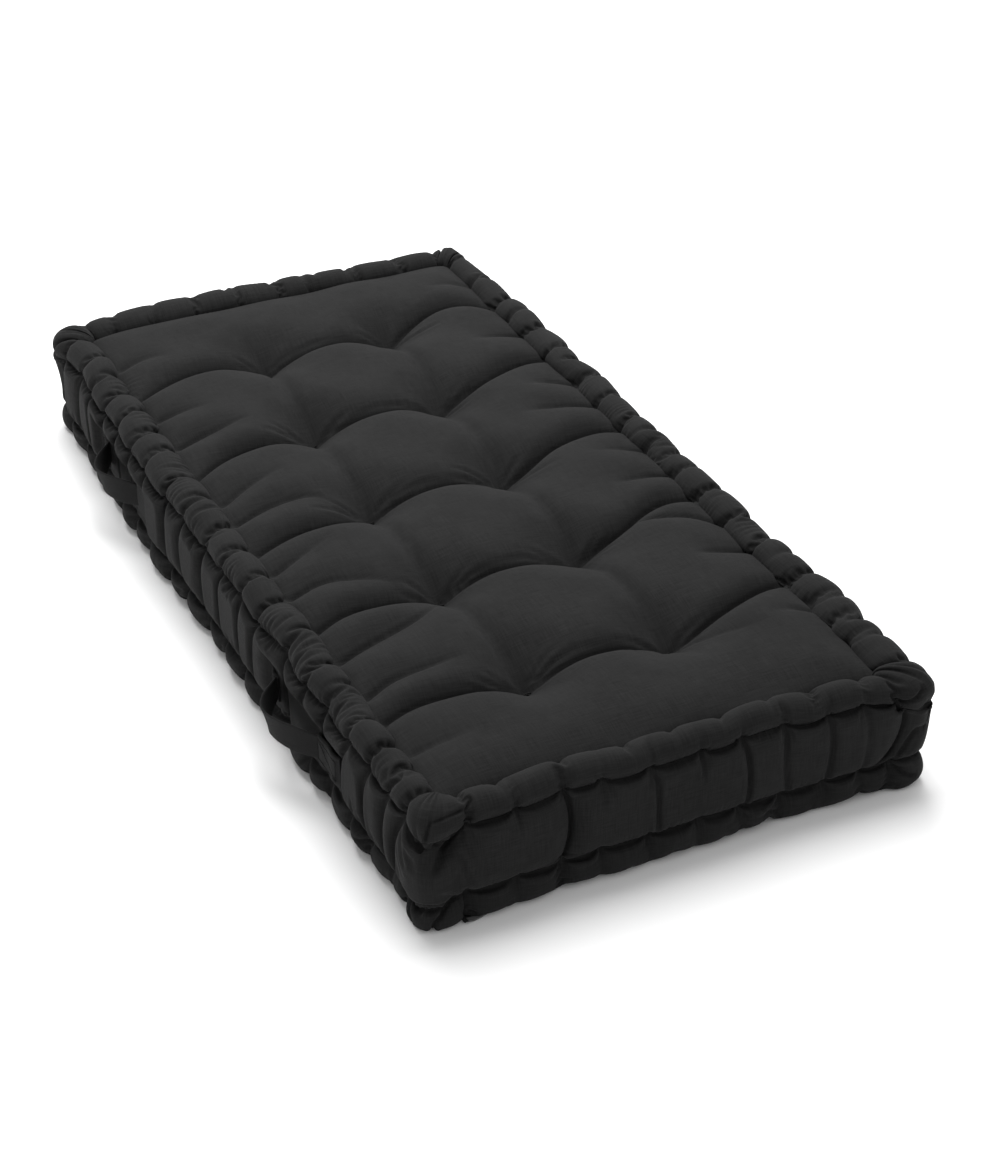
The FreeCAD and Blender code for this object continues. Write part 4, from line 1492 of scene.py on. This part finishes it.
def woven(name, dark, light, thread, slub, sheen, roughness, bump, crumple=0.0):
    """Plain-weave cloth: two crossing sets of threads with slubs, uneven dye, wear that lightens sharp ridges,
    painted shade that darkens creases and hollows, and a soft bump.
    thread is the thread spacing in metres; dark and light are the dye's base colours."""
    n = Nodes(
        name, Sheen_Weight=sheen, Sheen_Roughness=0.45, Sheen_Tint=(0.9, 0.9, 0.92, 1),
        Specular_IOR_Level=0.15)
    place = n.cloth_place()
    slub_width, slub_length = 1 / (1.3 * thread), 1 / (26 * thread)
    warp_slub = n.noise(n.scaled(place, slub_width, slub_length), 1.0, 2.0)
    weft_slub = n.noise(n.scaled(place, slub_length, slub_width), 1.0, 2.0)
    split = n.add("ShaderNodeSeparateXYZ")
    n.link(place, split.inputs[0])
    wobble = n.math("MULTIPLY_ADD", n.noise(place, 160.0, 2.0), 1.5, -0.75)
    warp, weft = (
        n.math("SINE", n.math("MULTIPLY_ADD", split.outputs[axis], 2 * math.pi / thread, wobble))
        for axis in "XY")
    weave = n.math("MULTIPLY", warp, weft)
    slubs = n.math("ADD", n.centred(warp_slub), n.centred(weft_slub))
    tone = n.math("MULTIPLY_ADD", slubs, slub, 0.5)
    tone = n.math("MULTIPLY_ADD", weave, 0.10, tone)
    tone = n.math("MULTIPLY_ADD", n.centred(n.noise(place, 9.0, 4.0, 0.6)), 0.55, tone)
    tone = n.math("MULTIPLY_ADD", n.centred(n.noise(place, 2600.0, 2.0)), 0.25, tone)
    # From pointiness: a little lighter on sharp ridges, as wear, and darker in creases and hollows, which is
    # painted shade.
    ridge_wear_and_crease_shade = n.math("MULTIPLY", n.centred(n.add("ShaderNodeNewGeometry").outputs["Pointiness"]), 2.2)
    tone = n.math("ADD", tone, n.math("MAXIMUM", n.math("MINIMUM", ridge_wear_and_crease_shade, 0.1), -0.25))
    n.colour(tone, ((0.0, grey(dark)), (0.5, grey((dark + light) / 2)), (1.0, grey(light))))
    n.link(n.math("MULTIPLY_ADD", slubs, 0.12, roughness), n.shader.inputs["Roughness"])
    n.bump(n.math("MULTIPLY_ADD", weave, 0.5, n.math("MULTIPLY", slubs, 1.3)), bump, 0.8)
    if crumple:
        creases = n.noise(n.scaled(place, 1.0, 1.6), 42.0, 3.0)
        n.bump(n.math("ADD", creases, n.math("MULTIPLY", n.noise(place, 130.0, 2.0), 0.3)), crumple)
    return n.material


def yarn(name, dark, light):
    """Twisted cotton yarn: slanting fibres along the strand."""
    n = Nodes(name, Sheen_Weight=0.02, Specular_IOR_Level=0.15, Roughness=0.8)
    fibres = n.noise(n.scaled(n.cloth_place(), 900.0, 3000.0), 1.0, 3.0)
    n.colour(fibres, ((0.3, grey(dark)), (0.7, grey(light))))
    n.bump(fibres, 0.08 * MM)
    return n.material


def batting(name):
    """Matted cotton felt: cream, clumped, with a fibrous surface."""
    n = Nodes(name, Roughness=0.95, Sheen_Weight=0.3)
    place = n.add("ShaderNodeTexCoord").outputs["Object"]
    fibres = n.noise(n.scaled(place, 1.0, 1.0, 2.5), 320.0, 6.0, 0.7)
    clumps = n.noise(place, 28.0, 4.0)
    tone = n.math("MULTIPLY_ADD", clumps, 0.6, n.math("MULTIPLY", fibres, 0.4))
    n.colour(tone, ((0.3, (0.50, 0.45, 0.37)), (0.55, (0.72, 0.68, 0.58)), (0.8, (0.82, 0.79, 0.71))))
    n.bump(fibres, 1.2 * MM)
    return n.material


def give(pieces, material):
    for piece in pieces:
        piece.data.materials.clear()
        piece.data.materials.append(material)


# ---------------------------------------------------------------- building the object

panel = top_panel_points()
panel_cloth = np.stack(panel_grid(*panel.shape[1:])).astype(np.float32)
band_now, band_shape = band_points()

cotton = woven("black_cotton_weave", 0.0045, 0.0155, 1.0 * MM, 1.4, 0.02, 0.9, 0.14 * MM, 0.5 * MM)
webbing = woven("handle_cotton_weave", 0.004, 0.0135, 1.1 * MM, 0.7, 0.02, 0.9, 0.14 * MM, 0.3 * MM)
tape = woven("label_tape_weave", 0.008, 0.03, 0.5 * MM, 0.5, 0.05, 0.8, 0.05 * MM)
hem = yarn("label_hem_yarn", 0.05, 0.14)
thread = yarn("black_thread", 0.005, 0.016)
cord = yarn("black_tie_cord", 0.003, 0.010)
felt = batting("cotton_felt")

covers = [
    panel_piece("top_panel_cloth", panel, panel_cloth, 100 * MM, ["top_panel"]),
    panel_piece("bottom_panel_cloth", bottom_panel_points(panel), panel_cloth, 44 * MM, ["bottom_panel"]),
] + band_pieces(band_now, band_shape)
give(covers, cotton)
for handle in HANDLES:
    strap = strap_piece(handle)
    ends, stitching = sewn_end_pieces(handle)
    give([strap, ends], webbing)
    give([stitching], thread)
give([edge_stitch_piece(level, band_now, band_shape) for level in LEVELS], thread)
give(tuft_tie_pieces(), cord)
label_tape, label_hem = label_pieces()
give([label_tape], tape)
give([label_hem], hem)
felts = batt_pieces(panel) + [roll_filling_piece(level, band_shape) for level in LEVELS]
give(felts, felt)


# ---------------------------------------------------------------- floor, light and camera

def place_object(name, data):
    made = bpy.data.objects.new(name, data)
    bpy.context.scene.collection.objects.link(made)
    return made


def stage_floor(reach):
    mesh = bpy.data.meshes.new("floor")
    corners = [(-reach, -reach, 0), (reach, -reach, 0), (reach, reach, 0), (-reach, reach, 0)]
    mesh.from_pydata(corners, [], [(0, 1, 2, 3)])
    n = Nodes("pale_floor", Base_Color=(0.93, 0.93, 0.93, 1), Roughness=0.9, Specular_IOR_Level=0.0)
    mesh.materials.append(n.material)
    place_object("floor", mesh)


def area_light(name, place, target, size, power):
    lamp = bpy.data.lights.new(name, "AREA")
    lamp.shape, lamp.size, lamp.energy = "SQUARE", size, power
    light = place_object(name, lamp)
    light.location = place
    light.rotation_euler = (Vector(target) - Vector(place)).to_track_quat("-Z", "Y").to_euler()


def camera(azimuth, elevation, distance, aim, focal):
    """The photograph's viewpoint: azimuth 0 looks along +Y, and turns towards -X below zero."""
    a, e = math.radians(azimuth), math.radians(elevation)
    back = Vector((math.sin(a) * math.cos(e), -math.cos(a) * math.cos(e), math.sin(e)))
    data = bpy.data.cameras.new("camera")
    data.sensor_fit, data.sensor_width, data.lens = "HORIZONTAL", 36.0, focal
    data.clip_end = 50
    view = place_object("camera", data)
    view.location = Vector(aim) + back * distance
    view.rotation_euler = (-back).to_track_quat("-Z", "Y").to_euler()
    bpy.context.scene.camera = view


def studio_world(strength):
    world = bpy.data.worlds.new("studio")
    world.use_nodes = True
    background = world.node_tree.nodes["Background"]
    background.inputs["Color"].default_value = (1, 1, 1, 1)
    background.inputs["Strength"].default_value = strength
    bpy.context.scene.world = world


stage_floor(12.0)
studio_world(0.67)
area_light("overhead", (0.15, 0.75, 2.6), (0, 0, 0), 2.2, 96)
area_light("from_behind", (0.9, 2.9, 1.7), (0, 0.1, 0.1), 1.8, 30)
camera(-25.7, 32.7, 3.027, (0.021, -0.121, 0.075), 91.1)
bpy.context.scene.view_settings.view_transform = "Standard"
